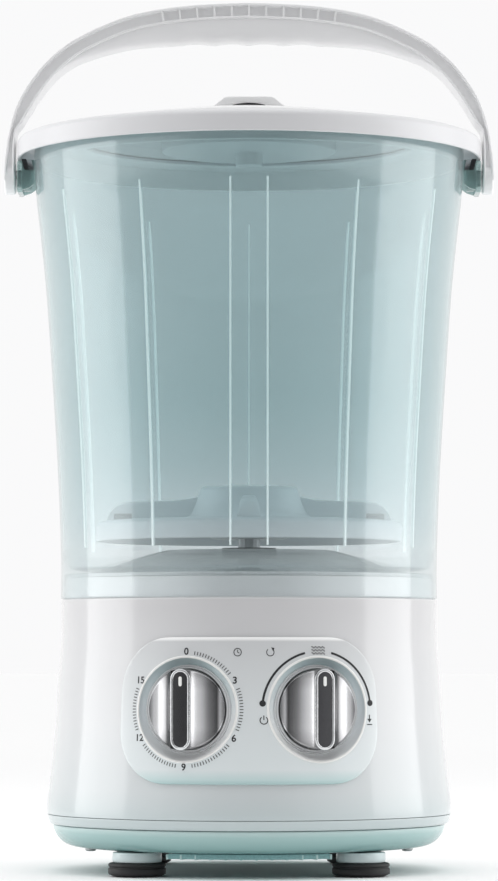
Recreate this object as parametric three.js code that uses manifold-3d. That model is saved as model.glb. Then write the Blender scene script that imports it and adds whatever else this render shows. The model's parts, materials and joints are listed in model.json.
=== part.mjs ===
// A portable mini washer: a clear tub on a white base, a drop-in lid and an upright carrying handle.
// Millimetres, +Z up, front towards -Y. The origin is on the floor under the middle of the tub.
import * as THREE from "three";
import { mergeVertices } from "three/addons/utils/BufferGeometryUtils.js";
import Module from "manifold-3d";

const wasm = await Module();
wasm.setup();

// ---- Driving dimensions ----
const GAP = 0.3; // clearance between pieces that touch
const ROUND = 36; // facets round the large turned pieces
const SMALL_ROUND = 16; // facets round the small turned pieces
const WALL = 2.5; // moulded plastic wall

const PAD = { radius: 20.5, height: 9.3, chamfer: 1.5 };
const POST_RADIUS = 17.5;
const FOOT = { x: 79, y: 85 };
const TRAY_BOTTOM = 17;
const TRAY_TOP = 33.5;
const SEAM = 41; // underside of the base housing
const SHOULDER = 195.7; // where the tub's skirt meets the base housing
const COLLAR = { radius: 134, top: 211 };
const DECK_UNDER = 208.5; // underside of the deck that carries the drive
const DECK_HOLE = 31;

// Outside of the base housing, as radius and height from the seam to the shoulder.
const BASE_OUTSIDE = [
  [146.9, SEAM],
  [146.4, 52],
  [143.3, 79],
  [140.7, 108],
  [139.3, 137],
  [137.1, 166],
  [137.1, SHOULDER],
];

const PANEL = { halfWidth: 89.6, bottom: 66, top: 168, corner: 38, proud: 1.7 };
// Each dial points out at this angle to its side, and both lean a little to the right of the middle.
const DIAL = { height: 117.8, angle: 19.2, lean: 1, radius: 35, floor: 133.5 };
const KNOB = { radius: 27.8, back: 134, face: 152, disc: 5, blade: 10.8, scoop: 22 };
const INSERT = { length: 52, width: 9.9, depth: 1.6 };
const SHAFT = { radius: 3, inner: 116, outer: 146 };

// Outside of the clear tub, as radius and height.
const TUB_OUTSIDE = [
  [137.1, SHOULDER + 0.6],
  [137.1, 225],
  [139.3, 283],
  [142.9, 342],
  [148, 415],
  [152.4, 459],
  [155.7, 488],
  [157.4, 515],
  [157.4, 529],
];
const TUB_FLOOR = { edge: 214, rise: 229, riseRadius: 62, boss: 20 };
const TUB_RIB = { width: 3, depth: 2, bottom: 232, top: 490, pairOffset: 13 };
const EAR = { inner: 154.6, outer: 169.6, halfDepth: 19, bottom: 493, top: 517 };

const RIM = { radius: 170, bottom: 518, channel: 529.3, lipInner: 150, lipOuter: 154.4, lipBottom: 514 };
const SEAT = { inner: 122, outer: 135.6, innerHeight: 531.9, slope: 0.392 };
const LID = { radius: 134.9, wellRadius: 64, wellTop: 549, wellBottom: 524, bossRadius: 10, bossBottom: 514 };
const GRIP = { top: 564, under: 560, span: 71, depth: 28, footUnder: 549.3 };

const PIVOT_HEIGHT = 505;
const PIN = { radius: 6, inner: 160, outer: 179.2 };
const HANDLE = { band: 11.3, belly: 17.3, depth: 34, armInner: 171, boreInner: 165, boreOuter: 185 };
const HANDLE_RIB = { count: 11, pitch: 12.8, thickness: 2.2, pocketDepth: 13, skin: 2 };
// Outside of one half of the handle, as distance from the middle and height, from its top to the arm's foot.
const HANDLE_OUTSIDE = [
  [0, 632.6],
  [38, 631],
  [70, 627],
  [97.3, 619.8],
  [128.3, 605.2],
  [147, 590.5],
  [159.4, 575.9],
  [168.2, 561.3],
  [173.6, 546.7],
  [176.9, 532],
  [178.8, 517.4],
  [179.5, 502.8],
  [179.5, 493],
];
const SCALLOP = { centres: [-41, -13.7, 13.7, 41], halfWidth: 12, depth: 1.3 };

const PULSATOR = { radius: 112, rim: 250.5, skirt: 238, hubTop: 278 };
const VANE = { top: 268, width: 18, end: 104 };
const SPINDLE = { radius: 8, bottom: 66, top: 261.7 };
const DRIVEN = { radius: 62, groove: 56, bottom: 72, top: 86 };
const MOTOR = { offset: 82, radius: 38, bottom: 95, top: 165, pulley: 16, groove: 11, shaft: 4 };
const WHEEL_SCREW = { head: 8.6, headBottom: 274.3, headTop: 277.2, shank: 3, bottom: 248 };
const BEARING = { bottom: 150, top: 218, sleeve: 22, flange: 48, flangeBottom: 205.5 };
const BELT = { bottom: 76, width: 6, inside: 0.6, outside: 3.6 };
const BRACKET = { halfWidth: 48, front: 52, back: 108, legFront: 60, legBack: 104, sheet: 3 };
const CAPACITOR = { x: -85, y: 20, radius: 17, top: 78 };
const DRAIN = { x: 88, y: 60, holeRadius: 9.6 };
const GASKET = { inner: 123, outer: 131 };
const SCREW = { spread: 118, angle: 15, shank: 2, head: 4, headHeight: 2.2, end: 50 };

// ---- Materials ----
const paint = (color, roughness, metalness = 0) =>
  new THREE.MeshStandardMaterial({ color, roughness, metalness });
const WHITE = paint(0xf2f4f4, 0.25);
const PANEL_WHITE = paint(0xe6ecec, 0.2);
const TEAL = paint(0x9fc9c6, 0.3);
const DARK_TEAL = paint(0x37605f, 0.4);
const CLEAR = new THREE.MeshStandardMaterial({
  color: 0xbfe3e0,
  roughness: 0.1,
  transparent: true,
  opacity: 0.35,
});
const PALE = paint(0xdce6ee, 0.35);
const METAL = paint(0xb9bcc0, 0.3, 0.8);
const STEEL = paint(0x9a9da0, 0.35, 1);
const BLACK = paint(0x17181a, 0.5);
const RUBBER = paint(0x1c1c1d, 0.85);
const GREY = paint(0x8b9094, 0.5);

// ---- Geometry helpers ----
// A closed body for booleans, with shared corners joined.
function solid(geometry) {
  const bare = geometry.clone();
  bare.deleteAttribute("normal");
  bare.deleteAttribute("uv");
  const merged = mergeVertices(bare, 1e-4);
  return new wasm.Manifold(
    new wasm.Mesh({
      numProp: 3,
      vertProperties: new Float32Array(merged.getAttribute("position").array),
      triVerts: new Uint32Array(merged.index.array),
    })
  );
}

function geometryOf(body) {
  const mesh = body.getMesh();
  const geometry = new THREE.BufferGeometry();
  geometry.setAttribute("position", new THREE.BufferAttribute(mesh.vertProperties, 3));
  geometry.setIndex(new THREE.BufferAttribute(mesh.triVerts, 1));
  geometry.computeVertexNormals();
  return geometry;
}

// Turns a list of [radius, height] points about the Z axis, with the surface facing out.
function turned(profile, facets = ROUND) {
  const lathe = (list) => {
    const points = list.map(([r, z]) => new THREE.Vector2(r, z));
    if (list[0][0] > 0) points.push(points[0].clone());
    return solid(new THREE.LatheGeometry(points, facets).rotateX(Math.PI / 2));
  };
  const body = lathe(profile);
  return body.volume() > 0 ? body : lathe([...profile].reverse());
}

function cylinder(radius, bottom, top, facets = SMALL_ROUND) {
  return new THREE.CylinderGeometry(radius, radius, top - bottom, facets)
    .rotateX(Math.PI / 2)
    .translate(0, 0, (bottom + top) / 2);
}

function alongX(radius, from, to, y, z) {
  return cylinder(radius, from, to).rotateY(Math.PI / 2).translate(0, y, z);
}

function alongY(radius, from, to, x, z) {
  return cylinder(radius, -to, -from).rotateX(Math.PI / 2).translate(x, 0, z);
}

function box(low, high) {
  const size = high.map((v, i) => v - low[i]);
  return new THREE.BoxGeometry(...size).translate(...low.map((v, i) => v + size[i] / 2));
}

function shapeOf(points) {
  return new THREE.Shape(points.map(([a, b]) => new THREE.Vector2(a, b)));
}

// Extrudes an outline drawn in the X-Z plane along Y, centred on y = 0.
function acrossDepth(shape, depth) {
  const geometry = new THREE.ExtrudeGeometry(shape, { depth, bevelEnabled: false, curveSegments: 4 });
  return geometry.translate(0, 0, -depth / 2).rotateX(Math.PI / 2);
}

// Turns a body built along +Z so that +Z points out of the base through a dial.
function outOfDial(body, side) {
  const azimuth = radians(DIAL.lean + side * DIAL.angle);
  const turn = new THREE.Matrix4().makeBasis(
    new THREE.Vector3(Math.cos(azimuth), Math.sin(azimuth), 0),
    new THREE.Vector3(0, 0, 1),
    new THREE.Vector3(Math.sin(azimuth), -Math.cos(azimuth), 0)
  );
  return body.applyMatrix4(turn).translate(0, 0, DIAL.height);
}

function radians(degrees) {
  return (degrees * Math.PI) / 180;
}

const washer = new THREE.Group();
washer.name = "mini_washer";

function add(name, body, material) {
  const geometry = body instanceof wasm.Manifold ? geometryOf(body) : body;
  const mesh = new THREE.Mesh(geometry, material);
  mesh.name = name;
  washer.add(mesh);
}

const joined = (first, ...rest) => rest.reduce((body, extra) => body.add(solid(extra)), first);
const cut = (first, ...rest) => rest.reduce((body, tool) => body.subtract(solid(tool)), first);
const bothSides = [-1, 1];
const atAzimuth = (radius, degrees) => [
  radius * Math.cos(radians(degrees)),
  radius * Math.sin(radians(degrees)),
];

// Radius at a height on a list of [radius, height] points.
function radiusAt(profile, height) {
  const next = Math.max(1, profile.findIndex(([, z]) => z >= height));
  const [r0, z0] = profile[next - 1];
  const [r1, z1] = profile[next];
  return r0 + ((r1 - r0) * (height - z0)) / (z1 - z0);
}

// ---- Base housing, with a flat-bottomed dish for each dial ----
const insideOfBase = [SHOULDER - WALL, 137, SEAM].map((z) => [radiusAt(BASE_OUTSIDE, z) - WALL, z]);
let housing = turned([
  ...BASE_OUTSIDE,
  [COLLAR.radius, SHOULDER],
  [COLLAR.radius, COLLAR.top],
  [DECK_HOLE, COLLAR.top],
  [DECK_HOLE, DECK_UNDER],
  [COLLAR.radius - WALL, DECK_UNDER],
  [COLLAR.radius - WALL, SHOULDER - WALL],
  ...insideOfBase,
]);
const filledBase = turned([[0, SEAM], ...BASE_OUTSIDE, [0, SHOULDER]]);
for (const side of bothSides) {
  const dish = outOfDial(cylinder(DIAL.radius + WALL, DIAL.floor - WALL, DIAL.floor + 10, 24), side);
  housing = housing.add(solid(dish).intersect(filledBase));
  housing = cut(
    housing,
    outOfDial(cylinder(DIAL.radius, DIAL.floor, KNOB.face, 24), side),
    outOfDial(cylinder(SHAFT.radius + GAP, SHAFT.inner, KNOB.face), side)
  );
}
const screwPlaces = [SCREW.angle, 180 - SCREW.angle, 180 + SCREW.angle, -SCREW.angle].map((degrees) =>
  atAzimuth(SCREW.spread, degrees)
);
const BOSS = { radius: 6, bottom: 20, top: 60, web: 1.5 };
for (const [x, y] of screwPlaces) {
  const angle = Math.atan2(y, x);
  const web = box([SCREW.spread, -BOSS.web, SEAM + 3], [BASE_OUTSIDE[0][0] - WALL - 1, BOSS.web, BOSS.top]);
  const post = cylinder(BOSS.radius, BOSS.bottom, BOSS.top, 12).translate(x, y, 0);
  housing = joined(housing, web.rotateZ(angle), post);
  housing = cut(housing, cylinder(SCREW.shank + GAP, BOSS.bottom - 1, BOSS.top - 6, 12).translate(x, y, 0));
}
const GLAND = { x: -50, z: 60, radius: 5.2, collar: 8.5 };
const SPIGOT = { z: 66, radius: 8.5, bore: 6, end: 146 };
housing = cut(
  housing,
  cylinder(DRAIN.holeRadius, DECK_UNDER - 1, COLLAR.top + 1).translate(DRAIN.x, DRAIN.y, 0),
  alongY(SPIGOT.radius + GAP, 90, 160, DRAIN.x, SPIGOT.z),
  alongY(GLAND.radius + GAP, 120, 160, GLAND.x, GLAND.z)
);
add("base_housing", housing, WHITE);

// ---- Bottom tray, trim ring, vent grille, feet and screws ----
const tray = cut(
  turned([
    [0, TRAY_BOTTOM],
    [125, TRAY_BOTTOM],
    [131, 18.3],
    [135, 20],
    [139.5, 25],
    [141.5, 29],
    [142.5, TRAY_TOP],
    [139.5, TRAY_TOP],
    [137, 26],
    [133, 21.8],
    [127, TRAY_BOTTOM + WALL],
    [0, TRAY_BOTTOM + WALL],
  ]),
  ...screwPlaces.map(([x, y]) => cylinder(SCREW.shank + GAP, 10, 30, 12).translate(x, y, 0))
);
add("bottom_tray", tray, TEAL);
add(
  "base_trim_ring",
  turned([
    [144.6, TRAY_TOP + GAP],
    [146, 36],
    [146.7, SEAM - GAP],
    [141, SEAM - GAP],
    [141, TRAY_TOP + GAP],
  ]),
  WHITE
);

const GRILLE = { inner: 112, outer: 123, halfAngle: 28, bottom: 12.6, slots: 10, bar: 1.1 };
const fan = (inner, outer, from, to, steps) => {
  const spot = (radius, i) => atAzimuth(radius, -90 + from + ((to - from) * i) / steps);
  const outside = Array.from({ length: steps + 1 }, (_, i) => spot(outer, i));
  const inside = Array.from({ length: steps + 1 }, (_, i) => spot(inner, steps - i));
  return shapeOf([...outside, ...inside]);
};
const grille = fan(GRILLE.inner, GRILLE.outer, -GRILLE.halfAngle, GRILLE.halfAngle, 12);
const slotPitch = (2 * GRILLE.halfAngle) / GRILLE.slots;
for (let i = 0; i < GRILLE.slots; i += 1) {
  const from = -GRILLE.halfAngle + i * slotPitch + GRILLE.bar;
  grille.holes.push(fan(GRILLE.inner + 2, GRILLE.outer - 2, from, from + slotPitch - 2 * GRILLE.bar, 1));
}
add(
  "bottom_vent_grille",
  new THREE.ExtrudeGeometry(grille, {
    depth: TRAY_BOTTOM - GAP - GRILLE.bottom,
    bevelEnabled: false,
  }).translate(0, 0, GRILLE.bottom),
  DARK_TEAL
);

const FOOT_NAMES = { "1,1": "rear_right", "-1,1": "rear_left", "1,-1": "front_right", "-1,-1": "front_left" };
for (const sideX of bothSides) {
  for (const sideY of bothSides) {
    const place = FOOT_NAMES[`${sideX},${sideY}`];
    const x = sideX * FOOT.x;
    const y = sideY * FOOT.y;
    const pad = turned(
      [
        [0, 0],
        [PAD.radius - PAD.chamfer, 0],
        [PAD.radius, PAD.chamfer],
        [PAD.radius, PAD.height],
        [0, PAD.height],
      ],
      24
    );
    add(`foot_pad_${place}`, pad.translate([x, y, 0]), RUBBER);
    const post = cylinder(POST_RADIUS, PAD.height + GAP, TRAY_BOTTOM - GAP, 24);
    add(`foot_post_${place}`, post.translate(x, y, 0), PALE);
  }
}
screwPlaces.forEach(([x, y], i) => {
  const head = TRAY_BOTTOM - GAP;
  const screw = joined(
    solid(cylinder(SCREW.head, head - SCREW.headHeight, head, 12)),
    cylinder(SCREW.shank, head - 1, SCREW.end, 12)
  );
  add(`tray_screw_${i + 1}`, screw.translate([x, y, 0]), STEEL);
});

// ---- Control panel, knobs and what they turn ----
const panelSkin = [62, 79, 108, 137, 166, 172].map((z) => [radiusAt(BASE_OUTSIDE, z) + GAP, z]);
const panelFace = panelSkin.map(([r, z]) => [r + PANEL.proud, z]).reverse();
const panelOutline = new THREE.Shape();
const [left, right] = [-PANEL.halfWidth, PANEL.halfWidth];
panelOutline.moveTo(left + PANEL.corner, PANEL.bottom);
panelOutline.lineTo(right - PANEL.corner, PANEL.bottom);
panelOutline.absarc(right - PANEL.corner, PANEL.bottom + PANEL.corner, PANEL.corner, -Math.PI / 2, 0);
panelOutline.absarc(right - PANEL.corner, PANEL.top - PANEL.corner, PANEL.corner, 0, Math.PI / 2);
panelOutline.absarc(left + PANEL.corner, PANEL.top - PANEL.corner, PANEL.corner, Math.PI / 2, Math.PI);
panelOutline.absarc(left + PANEL.corner, PANEL.bottom + PANEL.corner, PANEL.corner, Math.PI, 1.5 * Math.PI);
const panelPrism = solid(acrossDepth(panelOutline, 100).translate(0, -120, 0));
const panel = cut(
  turned([...panelSkin, ...panelFace]).intersect(panelPrism),
  ...bothSides.map((side) => outOfDial(cylinder(DIAL.radius + 1.5, SHAFT.inner, KNOB.face + 10, 24), side))
);
add("control_panel", panel, PANEL_WHITE);

const slot = (room) =>
  box(
    [-INSERT.width / 2 - room, -INSERT.length / 2 - room, KNOB.face - INSERT.depth - room],
    [INSERT.width / 2 + room, INSERT.length / 2 + room, KNOB.face + 0.2]
  );
const scoopMiddle = KNOB.blade / 2 + KNOB.scoop;
const SWITCHES = [
  { side: -1, name: "timer", block: "wash_timer", half: 20, back: 92 },
  { side: 1, name: "selector", block: "selector_switch", half: 17, back: 104 },
];
const blockFront = DIAL.floor - WALL - 3;
for (const { side, name, block, half, back } of SWITCHES) {
  const scoop = (x) =>
    cylinder(KNOB.scoop, -KNOB.radius - 1, KNOB.radius + 1, 32)
      .rotateX(Math.PI / 2)
      .translate(x, 0, KNOB.back + KNOB.disc + KNOB.scoop);
  const knob = cut(
    solid(cylinder(KNOB.radius, KNOB.back, KNOB.face, 32)),
    scoop(-scoopMiddle),
    scoop(scoopMiddle),
    slot(GAP),
    cylinder(SHAFT.radius + GAP, KNOB.back - 1, SHAFT.outer + GAP)
  );
  add(`${name}_knob`, outOfDial(geometryOf(knob), side), METAL);
  add(`${name}_knob_insert`, outOfDial(slot(0), side), BLACK);
  add(`${name}_shaft`, outOfDial(cylinder(SHAFT.radius, SHAFT.inner, SHAFT.outer), side), STEEL);
  const body = cut(
    solid(box([-half, -half, back], [half, half, blockFront])),
    cylinder(SHAFT.radius + GAP, SHAFT.inner - GAP, KNOB.back)
  );
  add(block, outOfDial(geometryOf(body), side), GREY);
}

// ---- Clear tub, with ribs inside its wall and an outlet under its floor ----
const insideOfTub = [529, 515, 459, 342, 225].map((z) => [radiusAt(TUB_OUTSIDE, z) - WALL, z]);
const floorTop = (z) => z + WALL;
let tub = turned([
  ...TUB_OUTSIDE,
  ...insideOfTub,
  [131, 218],
  [122, floorTop(TUB_FLOOR.edge)],
  [TUB_FLOOR.riseRadius, floorTop(TUB_FLOOR.rise)],
  [TUB_FLOOR.boss, floorTop(TUB_FLOOR.rise)],
  [TUB_FLOOR.boss, TUB_FLOOR.rise],
  [TUB_FLOOR.riseRadius - 0.6, TUB_FLOOR.rise],
  [121, TUB_FLOOR.edge],
  [TUB_OUTSIDE[0][0] - WALL, TUB_FLOOR.edge],
  [TUB_OUTSIDE[0][0] - WALL, TUB_OUTSIDE[0][1]],
]);
const ribHeights = [TUB_RIB.bottom, 342, 459, TUB_RIB.top];
const ribOutline = shapeOf([
  ...ribHeights.map((z) => [radiusAt(TUB_OUTSIDE, z) - WALL / 2, z]),
  ...ribHeights.map((z) => [radiusAt(TUB_OUTSIDE, z) - WALL - TUB_RIB.depth, z]).reverse(),
]);
for (let degrees = 0; degrees < 360; degrees += 30) {
  const paired = degrees === 270;
  for (const offset of paired ? [-TUB_RIB.pairOffset, TUB_RIB.pairOffset] : [0]) {
    const rib = acrossDepth(ribOutline, TUB_RIB.width).translate(0, offset, 0);
    tub = joined(tub, rib.rotateZ(radians(degrees)));
  }
}
const OUTLET = { radius: 8.5, bore: 6.5, bottom: 203, top: 219 };
tub = cut(
  joined(tub, cylinder(OUTLET.radius, OUTLET.bottom, OUTLET.top).translate(DRAIN.x, DRAIN.y, 0)),
  cylinder(OUTLET.bore, OUTLET.bottom - 1, 226).translate(DRAIN.x, DRAIN.y, 0)
);
add("tub", tub, CLEAR);

// ---- Ears that hold the handle's pins, shaped to the tub's wall ----
const wallWithGap = turned([
  [0, 459],
  ...TUB_OUTSIDE.filter(([, z]) => z >= 459).map(([r, z]) => [r + GAP, z]),
  [0, 529],
]);
for (const side of bothSides) {
  const near = side * EAR.inner;
  const far = side * EAR.outer;
  const ear = box(
    [Math.min(near, far), -EAR.halfDepth, EAR.bottom],
    [Math.max(near, far), EAR.halfDepth, EAR.top]
  );
  const bore = [PIN.inner - GAP, PIN.outer].map((x) => x * side).sort((a, b) => a - b);
  const name = side < 0 ? "tub_ear_left" : "tub_ear_right";
  add(name, cut(solid(ear).subtract(wallWithGap), alongX(PIN.radius + GAP, ...bore, 0, PIVOT_HEIGHT)), TEAL);
}
add(
  "tub_gasket",
  turned([
    [GASKET.inner, COLLAR.top + GAP],
    [GASKET.outer, COLLAR.top + GAP],
    [GASKET.outer, TUB_FLOOR.edge - GAP],
    [GASKET.inner, TUB_FLOOR.edge - GAP],
  ]),
  RUBBER
);

// ---- Drain ----
const ring = (outer, inner, bottom, top) =>
  turned(
    [
      [inner, bottom],
      [outer, bottom],
      [outer, top],
      [inner, top],
    ],
    SMALL_ROUND
  );
const STRAINER = { radius: 10, stem: 6.1, stemEnd: 215, underside: 223.1, top: 225 };
const STRAINER_HOLE = { radius: 1.3, circle: 3.6 };
let strainer = joined(
  solid(cylinder(STRAINER.radius, STRAINER.underside, STRAINER.top)),
  cylinder(STRAINER.stem, STRAINER.stemEnd, STRAINER.underside + 1)
);
for (let i = 0; i < 5; i += 1) {
  const [x, y] = i ? atAzimuth(STRAINER_HOLE.circle, i * 90) : [0, 0];
  const drill = cylinder(STRAINER_HOLE.radius, STRAINER.stemEnd - 1, STRAINER.top + 1, 8);
  strainer = cut(strainer, drill.translate(x, y, 0));
}
add("drain_strainer", strainer.translate([DRAIN.x, DRAIN.y, 0]), PALE);
const VALVE = { half: 18, bottom: 50, top: 94, neck: 104 };
const tube = ring(12, OUTLET.radius + GAP, VALVE.top + GAP, DECK_UNDER - GAP);
add("drain_tube", tube.translate([DRAIN.x, DRAIN.y, 0]), GREY);
const valve = joined(
  solid(box([-VALVE.half, -VALVE.half, VALVE.bottom], [VALVE.half, VALVE.half, VALVE.top])),
  cylinder(OUTLET.radius, VALVE.top - 1, VALVE.neck)
);
add("drain_valve", valve.translate([DRAIN.x, DRAIN.y, 0]), PALE);
const spigotStart = DRAIN.y + VALVE.half + GAP;
add(
  "drain_spigot",
  cut(
    solid(alongY(SPIGOT.radius, spigotStart, SPIGOT.end, DRAIN.x, SPIGOT.z)),
    alongY(SPIGOT.bore, spigotStart + 4, SPIGOT.end + 1, DRAIN.x, SPIGOT.z)
  ),
  GREY
);
add(
  "cord_gland",
  joined(
    solid(alongY(GLAND.radius, 120, 152, GLAND.x, GLAND.z)),
    alongY(GLAND.collar, 142, 147, GLAND.x, GLAND.z)
  ),
  RUBBER
);

// ---- Pulsator and its spindle ----
let pulsator = turned(
  [
    [8.3, 240],
    [8.3, 262],
    [3.4, 262],
    [3.4, 274],
    [9, 274],
    [9, PULSATOR.hubTop],
    [34, PULSATOR.hubTop],
    [36.5, 276],
    [40, 262],
    [46, 254.5],
    [105, 253],
    [110, 252.3],
    [PULSATOR.radius, PULSATOR.rim],
    [PULSATOR.radius, PULSATOR.skirt],
    [PULSATOR.radius - WALL, PULSATOR.skirt],
    [PULSATOR.radius - WALL, 249.5],
    [47, 250.5],
    [30, 249],
    [28, 240],
  ],
  28
);
const vaneOutline = shapeOf([
  [30, 252],
  [30, 271],
  [44, 269.5],
  [60, VANE.top],
  [90, VANE.top - 1.5],
  [99, 264],
  [VANE.end, 258],
  [VANE.end, 252],
]);
for (let degrees = 0; degrees < 360; degrees += 90) {
  pulsator = joined(pulsator, acrossDepth(vaneOutline, VANE.width).rotateZ(radians(degrees)));
}
add("pulsator", pulsator, PALE);
const spindle = cut(
  solid(cylinder(SPINDLE.radius, SPINDLE.bottom, SPINDLE.top)),
  cylinder(WHEEL_SCREW.shank + GAP, WHEEL_SCREW.bottom - 2, SPINDLE.top + 1)
);
add("pulsator_shaft", spindle, STEEL);
add(
  "pulsator_screw",
  joined(
    solid(cylinder(WHEEL_SCREW.head, WHEEL_SCREW.headBottom, WHEEL_SCREW.headTop)),
    cylinder(WHEEL_SCREW.shank, WHEEL_SCREW.bottom, WHEEL_SCREW.headBottom + 1)
  ),
  STEEL
);
add("shaft_seal", ring(TUB_FLOOR.boss - GAP, SPINDLE.radius + GAP, 226, 233.5), RUBBER);
const housingBore = SPINDLE.radius + GAP;
add(
  "bearing_housing",
  turned(
    [
      [housingBore, BEARING.bottom],
      [BEARING.sleeve, BEARING.bottom],
      [BEARING.sleeve, BEARING.flangeBottom - 2.5],
      [BEARING.flange, BEARING.flangeBottom],
      [BEARING.flange, DECK_UNDER - GAP],
      [DECK_HOLE - GAP, DECK_UNDER - GAP],
      [DECK_HOLE - GAP, BEARING.top],
      [housingBore, BEARING.top],
    ],
    20
  ),
  STEEL
);

// ---- Belt drive and motor ----
const pulley = (bore, hub, groove, rim, bottom, top, facets) =>
  turned(
    [
      [bore, bottom - 4],
      [hub, bottom - 4],
      [hub, bottom],
      [rim, bottom],
      [rim, bottom + 1.5],
      [groove, bottom + 3],
      [groove, top - 3],
      [rim, top - 1.5],
      [rim, top],
      [hub, top],
      [hub, top + 3],
      [bore, top + 3],
    ],
    facets
  );
add(
  "driven_pulley",
  pulley(housingBore, 16, DRIVEN.groove, DRIVEN.radius, DRIVEN.bottom, DRIVEN.top, 28),
  GREY
);
const motorPulley = pulley(
  MOTOR.shaft + GAP,
  8,
  MOTOR.groove,
  MOTOR.pulley,
  DRIVEN.bottom,
  DRIVEN.top,
  SMALL_ROUND
);
add("motor_pulley", motorPulley.translate([0, MOTOR.offset, 0]), GREY);
// The belt runs straight between two arcs, one round each pulley.
const beltLoop = (room) => {
  const big = DRIVEN.groove + room;
  const small = MOTOR.groove + room;
  const lean = Math.asin((big - small) / MOTOR.offset);
  const points = [];
  const steps = 24;
  for (let i = 0; i <= steps; i += 1) {
    const angle = Math.PI - lean + ((Math.PI + 2 * lean) * i) / steps;
    points.push([big * Math.cos(angle), big * Math.sin(angle)]);
  }
  for (let i = 0; i <= steps / 2; i += 1) {
    const angle = lean + ((Math.PI - 2 * lean) * i) / (steps / 2);
    points.push([small * Math.cos(angle), MOTOR.offset + small * Math.sin(angle)]);
  }
  return shapeOf(points);
};
const belt = beltLoop(BELT.outside);
belt.holes.push(beltLoop(BELT.inside));
add(
  "drive_belt",
  new THREE.ExtrudeGeometry(belt, { depth: BELT.width, bevelEnabled: false }).translate(0, 0, BELT.bottom),
  RUBBER
);
const motorBody = cut(
  solid(cylinder(MOTOR.radius, MOTOR.bottom, MOTOR.top, 28)),
  cylinder(MOTOR.shaft + GAP, MOTOR.bottom - 1, 120)
);
add("motor_body", motorBody.translate([0, MOTOR.offset, 0]), STEEL);
add("motor_shaft", cylinder(MOTOR.shaft, 66, 119.5).translate(0, MOTOR.offset, 0), STEEL);
const bracketBottom = MOTOR.top + GAP;
const bracket = joined(
  solid(
    box(
      [-BRACKET.halfWidth, BRACKET.front, bracketBottom],
      [BRACKET.halfWidth, BRACKET.back, bracketBottom + BRACKET.sheet]
    )
  ),
  ...bothSides.map((side) => {
    const middle = side * (BRACKET.halfWidth - BRACKET.sheet / 2);
    return box(
      [middle - BRACKET.sheet / 2, BRACKET.legFront, bracketBottom],
      [middle + BRACKET.sheet / 2, BRACKET.legBack, DECK_UNDER - GAP]
    );
  })
);
add("motor_bracket", bracket, GREY);
const capacitor = cylinder(CAPACITOR.radius, TRAY_BOTTOM + WALL + GAP, CAPACITOR.top);
add("capacitor", capacitor.translate(CAPACITOR.x, CAPACITOR.y, 0), BLACK);

// ---- Rim ring and lid: the lid rests on a cone-shaped seat inside the ring ----
const seatHeight = (radius) => SEAT.innerHeight + SEAT.slope * (radius - SEAT.inner);
add(
  "rim_ring",
  turned([
    [RIM.radius, RIM.bottom],
    [RIM.radius, 530.5],
    [169.2, 532.4],
    [166.5, 533.6],
    [150, 535.8],
    [138, 537.6],
    [SEAT.outer, seatHeight(SEAT.outer)],
    [SEAT.inner, SEAT.innerHeight],
    [121.5, 531.2],
    [121.5, 528.8],
    [RIM.lipInner, 528.8],
    [RIM.lipInner, RIM.lipBottom],
    [RIM.lipOuter, RIM.lipBottom],
    [RIM.lipOuter, RIM.channel],
    [167.5, RIM.channel],
    [167.5, RIM.bottom],
  ]),
  WHITE
);
const overSeat = (radius) => seatHeight(radius) + 0.35;
add(
  "lid",
  turned([
    [0, LID.bossBottom],
    [LID.bossRadius, LID.bossBottom],
    [LID.bossRadius, LID.wellBottom],
    [LID.wellRadius, LID.wellBottom],
    [LID.wellRadius, 545.8],
    [70, 545.6],
    [116, 538.9],
    [120, 533.8],
    [SEAT.inner + 0.3, overSeat(SEAT.inner + 0.3)],
    [LID.radius, overSeat(LID.radius)],
    [LID.radius, 538.2],
    [134, 538.9],
    [110, 543.4],
    [90, 546.6],
    [70, 548.6],
    [LID.wellRadius, LID.wellTop],
    [LID.wellRadius - WALL, 548.6],
    [LID.wellRadius - WALL, LID.wellBottom + 2],
    [0, LID.wellBottom + 2],
  ]),
  WHITE
);
const archUnder = [-30, -24, -16, -8, 0, 8, 16, 24, 30].map((x) => [x, GRIP.under - (x * x) / 94]);
const gripOutline = shapeOf([
  [-GRIP.span, GRIP.footUnder],
  [-31.5, GRIP.footUnder],
  ...archUnder,
  [31.5, GRIP.footUnder],
  [GRIP.span, GRIP.footUnder],
  [GRIP.span, 551],
  [64, 551.6],
  [39, 553.5],
  [25, 557.5],
  [18.5, 563.2],
  [16.5, GRIP.top],
  [-16.5, GRIP.top],
  [-18.5, 563.2],
  [-25, 557.5],
  [-39, 553.5],
  [-64, 551.6],
  [-GRIP.span, 551],
]);
add("lid_grip", acrossDepth(gripOutline, GRIP.depth), WHITE);

// ---- Carrying handle: an arch with ribbed pockets in front and a scalloped finger grip below ----
const half = HANDLE_OUTSIDE.map(([x, z]) => new THREE.Vector3(x, 0, z));
const otherHalf = half.slice(1).map((p) => new THREE.Vector3(-p.x, 0, p.z));
const outsideCurve = new THREE.CatmullRomCurve3([...otherHalf.reverse(), ...half], false, "centripetal");
const HANDLE_STEPS = 84;
const outside = outsideCurve.getSpacedPoints(HANDLE_STEPS);
const bellyAt = (x) => {
  const taper = Math.max(0, 1 - (x / 150) ** 2) ** 1.1;
  const dips = SCALLOP.centres.map((centre) => Math.max(0, 1 - ((x - centre) / SCALLOP.halfWidth) ** 2));
  return HANDLE.belly * taper - SCALLOP.depth * Math.max(...dips);
};
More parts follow.
